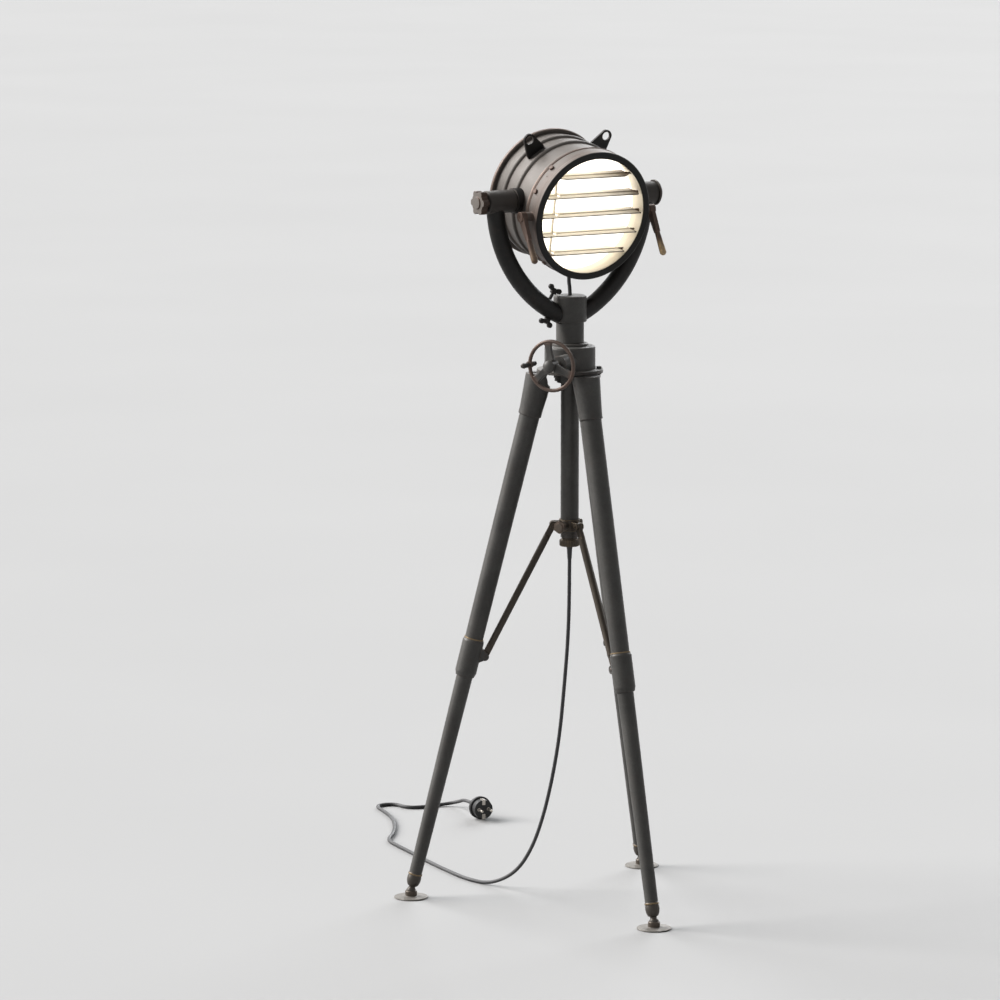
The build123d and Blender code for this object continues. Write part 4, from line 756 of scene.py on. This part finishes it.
class SEARCHLIGHT_OT_column(bpy.types.Operator):
    """Paint the hub, housing, column, spreader and handwheel"""

    bl_idname = "searchlight.column"
    bl_label = "Column"

    def execute(self, context):
        look = context.scene.lamp_finish
        # Upward faces of the column are painted paler: pale dust and painted top light.
        dust_and_top_light = dust_and_sheen(UP, 0.80, 0.98, 0.7, shade(look.leg, 2.6))
        dress(
            worn_paint("column_paint", look.leg, look.copper, wear=0.55, zones=(dust_and_top_light,)),
            "hub_plate", "gear_housing", "guide_tube", "tee", "mast_bush", "shaft_bush", "hub_bolts",
        )
        dress(
            worn_paint("bronze_brown", look.bronze, shade(look.gold, 0.6), 0.0014, 0.8, 0.42),
            "spreader_hub", "bottom_cap", "strut_a", "strut_b", "strut_c",
        )
        clamp = worn_paint(
            "clamp_brown", shade(look.bronze, 1.9), look.copper, wear=0.8, rough=0.42,
        )
        dress(clamp, "clamp_screw")
        bright = bare_metal(
            "mast_steel", shade(look.steel, 0.55), shade(look.steel, 0.35), 0.34,
            stretch=(1, 1, 0.1),
        )
        dress(bright, "mast", "pinion_shaft")

        def rim(f):
            outer = f.ramp(f.radius(WHEEL_AT, WHEEL_OUT), *WHEEL_RIM)
            patch = f.ramp(f.noise(60, 5, 0.65), 0.25, 0.65, 0.45, 0.95)
            return f.math("MULTIPLY", outer, patch), shade(look.copper, 0.55), 0.5, 0.45

        wheel = worn_paint("wheel_paint", look.leg, look.copper, wear=0.7, zones=(rim,))
        dress(wheel, "handwheel")
        dome = lathe("wheel_cap", WHEEL_CAP, WHEEL_AT, WHEEL_OUT, closed=False)
        new_piece("wheel_cap", dome, "wheel", wheel)
        shape = bmesh.new()
        for angle in SPOKE_AZ:
            a = math.radians(angle)
            out = WHEEL_SIDE * math.cos(a) + UP * math.sin(a)
            across = WHEEL_OUT.cross(out)
            loops = []
            for reach, half, thick in SPOKE_CUTS:
                middle = WHEEL_AT + out * reach
                corners = ((1, 1), (-1, 1), (-1, -1), (1, -1))
                wide = across * half
                deep = WHEEL_OUT * thick
                loops.append([shape.verts.new(middle + wide * i + deep * j) for i, j in corners])
            for low, high in zip(loops, loops[1:]):
                for k in range(4):
                    shape.faces.new((low[k - 1], low[k], high[k], high[k - 1]))
            shape.faces.new(loops[0])
            shape.faces.new(loops[-1])
        bmesh.ops.recalc_face_normals(shape, faces=shape.faces)
        mesh = bpy.data.meshes.new("wheel_spokes")
        shape.to_mesh(mesh)
        shape.free()
        mesh.shade_smooth()
        mesh.set_sharp_from_angle(angle=math.radians(60))
        spokes = new_piece("wheel_spokes", mesh, "wheel", wheel)
        soften(spokes, 0.0016, 3)
        dress(worn_paint("grip_paint", shade(look.leg, 0.8), look.copper, wear=0.7), "crank_grip")
        return {"FINISHED"}


class SEARCHLIGHT_OT_yoke(bpy.types.Operator):
    """Paint the yoke, its screws and the tilt knob"""

    bl_idname = "searchlight.yoke"
    bl_label = "Yoke"

    def execute(self, context):
        look = context.scene.lamp_finish

        def barrel(f):
            near = f.ramp(f.radius(PIVOT, SIDE), BARREL_R + 0.0020, BARREL_R + 0.0008)
            return near, shade(look.graphite, 0.62), 0.1, 0.5

        dress(
            worn_paint("yoke_black", look.black, look.copper, wear=0.30, rough=0.5, zones=(barrel,)),
            "yoke_arm_left", "yoke_arm_right", "trunnions", "wing_screw_upper", "wing_screw_lower",
            "lead_gland",
        )
        dress(worn_paint("cap_paint", shade(look.graphite, 0.8), look.copper, wear=0.5), "pivot_cap")
        # The knob's outer face, turned left towards the key light, is painted pale grey over the brown:
        # a painted highlight.
        pale = dust_and_sheen(-SIDE, 0.70, 0.95, 1.0, shade(look.graphite, 1.45))
        knob = worn_paint(
            "knob_paint", shade(look.copper, 0.36), look.copper, wear=0.8, zones=(pale,),
        )
        dress(knob, "star_knob")
        return {"FINISHED"}


class SEARCHLIGHT_OT_head(bpy.types.Operator):
    """Paint the drum, rear cover, front ring, eyes and screws"""

    bl_idname = "searchlight.head"
    bl_label = "Head"

    def execute(self, context):
        look = context.scene.lamp_finish

        def seam(f):
            reach = f.reach(HEAD_AT, BEAM)
            patch = f.ramp(f.noise(60, 5, 0.7), 0.28, 0.60, 0.30, 0.95)
            groove = f.band(reach, *SEAM_GROOVE)
            lines = f.math("SUBTRACT", f.band(reach, *RING_SEAM, 0.0006), groove)
            return f.math("MULTIPLY", lines, patch), shade(look.copper, 0.85), 0.6, 0.42

        def wash(f):
            front = f.ramp(f.reach(HEAD_AT, BEAM), *RING_WASH)
            patch = f.ramp(f.noise(40, 6, 0.7), 0.30, 0.62, 0.20, 0.60)
            return f.math("MULTIPLY", front, patch), shade(look.copper, 0.62), 0.2, 0.5

        def line(f):
            thin = f.band(f.reach(HEAD_AT, BEAM), *DRUM_LINE, 0.0008)
            patch = f.ramp(f.noise(45, 5, 0.7), 0.30, 0.62, 0.15, 0.80)
            return f.math("MULTIPLY", thin, patch), look.copper, 0.7, 0.4

        def face(f):
            return f.ramp(f.reach(HEAD_AT, BEAM), *RIM_FACE), shade(look.black, 0.55), 0.0, 0.6

        def inside(f):
            return f.ramp(f.radius(HEAD_AT, BEAM), *DRUM_INSIDE), look.ivory, 0.0, 0.5

        def rolled(f):
            lip = f.ramp(f.radius(HEAD_AT, BEAM), *COVER_LIP)
            patch = f.ramp(f.noise(50, 5, 0.7), 0.30, 0.65, 0.20, 0.85)
            return f.math("MULTIPLY", lip, patch), shade(look.copper, 0.8), 0.5, 0.42

        # The head's upper left, turned towards the lights, is painted paler: pale dust and a painted
        # highlight.
        lit_side = (HEAD_UP - SIDE * 0.35).normalized()
        top = dust_and_sheen(lit_side, 0.30, 0.95, 0.65, shade(look.graphite, 1.9))
        for name, node, wear, zones in (
            ("drum_paint", "drum_shell", 0.8, (top, line, inside)),
            ("cover_paint", "rear_cover", 0.9, (top, rolled)),
            ("ring_paint", "front_ring", 0.9, (top, wash, seam, inside, face)),
        ):
            dress(worn_paint(name, look.graphite, look.copper, 0.002, wear, zones=zones), node)
        dress(worn_paint("eye_paint", look.black, look.copper, wear=0.4), "eye_lugs")
        dress(worn_paint("screw_brown", shade(look.copper, 0.6), look.copper, wear=0.9), "ring_screws")
        return {"FINISHED"}


class SEARCHLIGHT_OT_shutter(bpy.types.Operator):
    """Finish the slats, the tie bar and the levers"""

    bl_idname = "searchlight.shutter"
    bl_label = "Shutter"

    def execute(self, context):
        look = context.scene.lamp_finish
        slats = ("slat_1", "slat_2", "slat_3", "slat_4", "slat_5")
        dress(enamel("slat_ivory", look.ivory), *slats, "tie_bar")

        def rubbed(f):
            patch = f.ramp(f.noise(90, 5, 0.65), 0.30, 0.62, 0.30, 1.0)
            right = f.ramp(f.reach(SHUTTER_AT, SIDE), -0.05, 0.05, 0.25, 1.0)
            tip = f.math("MULTIPLY", f.ramp(f.radius(SHUTTER_AT, SIDE), *LEVER_TIP), right)
            return f.math("MULTIPLY", tip, patch), shade(look.gold, 0.75), 0.8, 0.38

        levers = worn_paint(
            "lever_paint", shade(look.copper, 0.5), look.copper, 0.0018, 1.0, 0.42,
            zones=(rubbed,),
        )
        dress(levers, "shutter_levers")
        return {"FINISHED"}


class SEARCHLIGHT_OT_light(bpy.types.Operator):
    """Finish the reflector, lens, lamp holder and bulb"""

    bl_idname = "searchlight.light"
    bl_label = "Light"

    def execute(self, context):
        look = context.scene.lamp_finish
        dress(lit_glass("lens_opal", look.glow, look.glow_strength), "lens")
        dress(lit_glass("bulb_opal", look.glow, look.glow_strength), "bulb")
        silver = bare_metal(
            "reflector_silver", (0.86, 0.84, 0.80), (0.6, 0.58, 0.54), 0.15, share=0.3,
        )
        dress(silver, "reflector")
        dress(rubber("holder_dark", look.rubber), "lamp_holder")
        return {"FINISHED"}


STEPS = (
    SEARCHLIGHT_OT_stage,
    SEARCHLIGHT_OT_power_cord,
    SEARCHLIGHT_OT_head_lead,
    SEARCHLIGHT_OT_plug,
    SEARCHLIGHT_OT_legs,
    SEARCHLIGHT_OT_column,
    SEARCHLIGHT_OT_yoke,
    SEARCHLIGHT_OT_head,
    SEARCHLIGHT_OT_shutter,
    SEARCHLIGHT_OT_light,
)


class SEARCHLIGHT_PT_panel(bpy.types.Panel):
    """Sidebar panel with the lamp's pieces and settings"""

    bl_idname = "SEARCHLIGHT_PT_panel"
    bl_label = "Searchlight floor lamp"
    bl_space_type = "VIEW_3D"
    bl_region_type = "UI"
    bl_category = "Searchlight"

    def draw(self, context):
        column = self.layout.column(align=True)
        for step in STEPS:
            column.operator(step.bl_idname)
        for group in (context.scene.lamp_finish, context.scene.lamp_cord, context.scene.lamp_studio):
            box = self.layout.box()
            for key in group.__annotations__:
                box.prop(group, key)


CLASSES = (LampFinish, LampCord, LampStudio, *STEPS, SEARCHLIGHT_PT_panel)


def register():
    """Adds the classes and their settings."""
    for item in CLASSES:
        bpy.utils.register_class(item)
    bpy.types.Scene.lamp_finish = PointerProperty(type=LampFinish)
    bpy.types.Scene.lamp_cord = PointerProperty(type=LampCord)
    bpy.types.Scene.lamp_studio = PointerProperty(type=LampStudio)


def unregister():
    """Removes the settings and the classes."""
    del bpy.types.Scene.lamp_finish
    del bpy.types.Scene.lamp_cord
    del bpy.types.Scene.lamp_studio
    for item in reversed(CLASSES):
        bpy.utils.unregister_class(item)


def main():
    """Builds the lamp's looks around the frame."""
    register()
    bpy.ops.searchlight.stage()
    bpy.ops.searchlight.power_cord()
    bpy.ops.searchlight.head_lead()
    bpy.ops.searchlight.plug()
    bpy.ops.searchlight.legs()
    bpy.ops.searchlight.column()
    bpy.ops.searchlight.yoke()
    bpy.ops.searchlight.head()
    bpy.ops.searchlight.shutter()
    bpy.ops.searchlight.light()


if __name__ == "__main__":
    main()
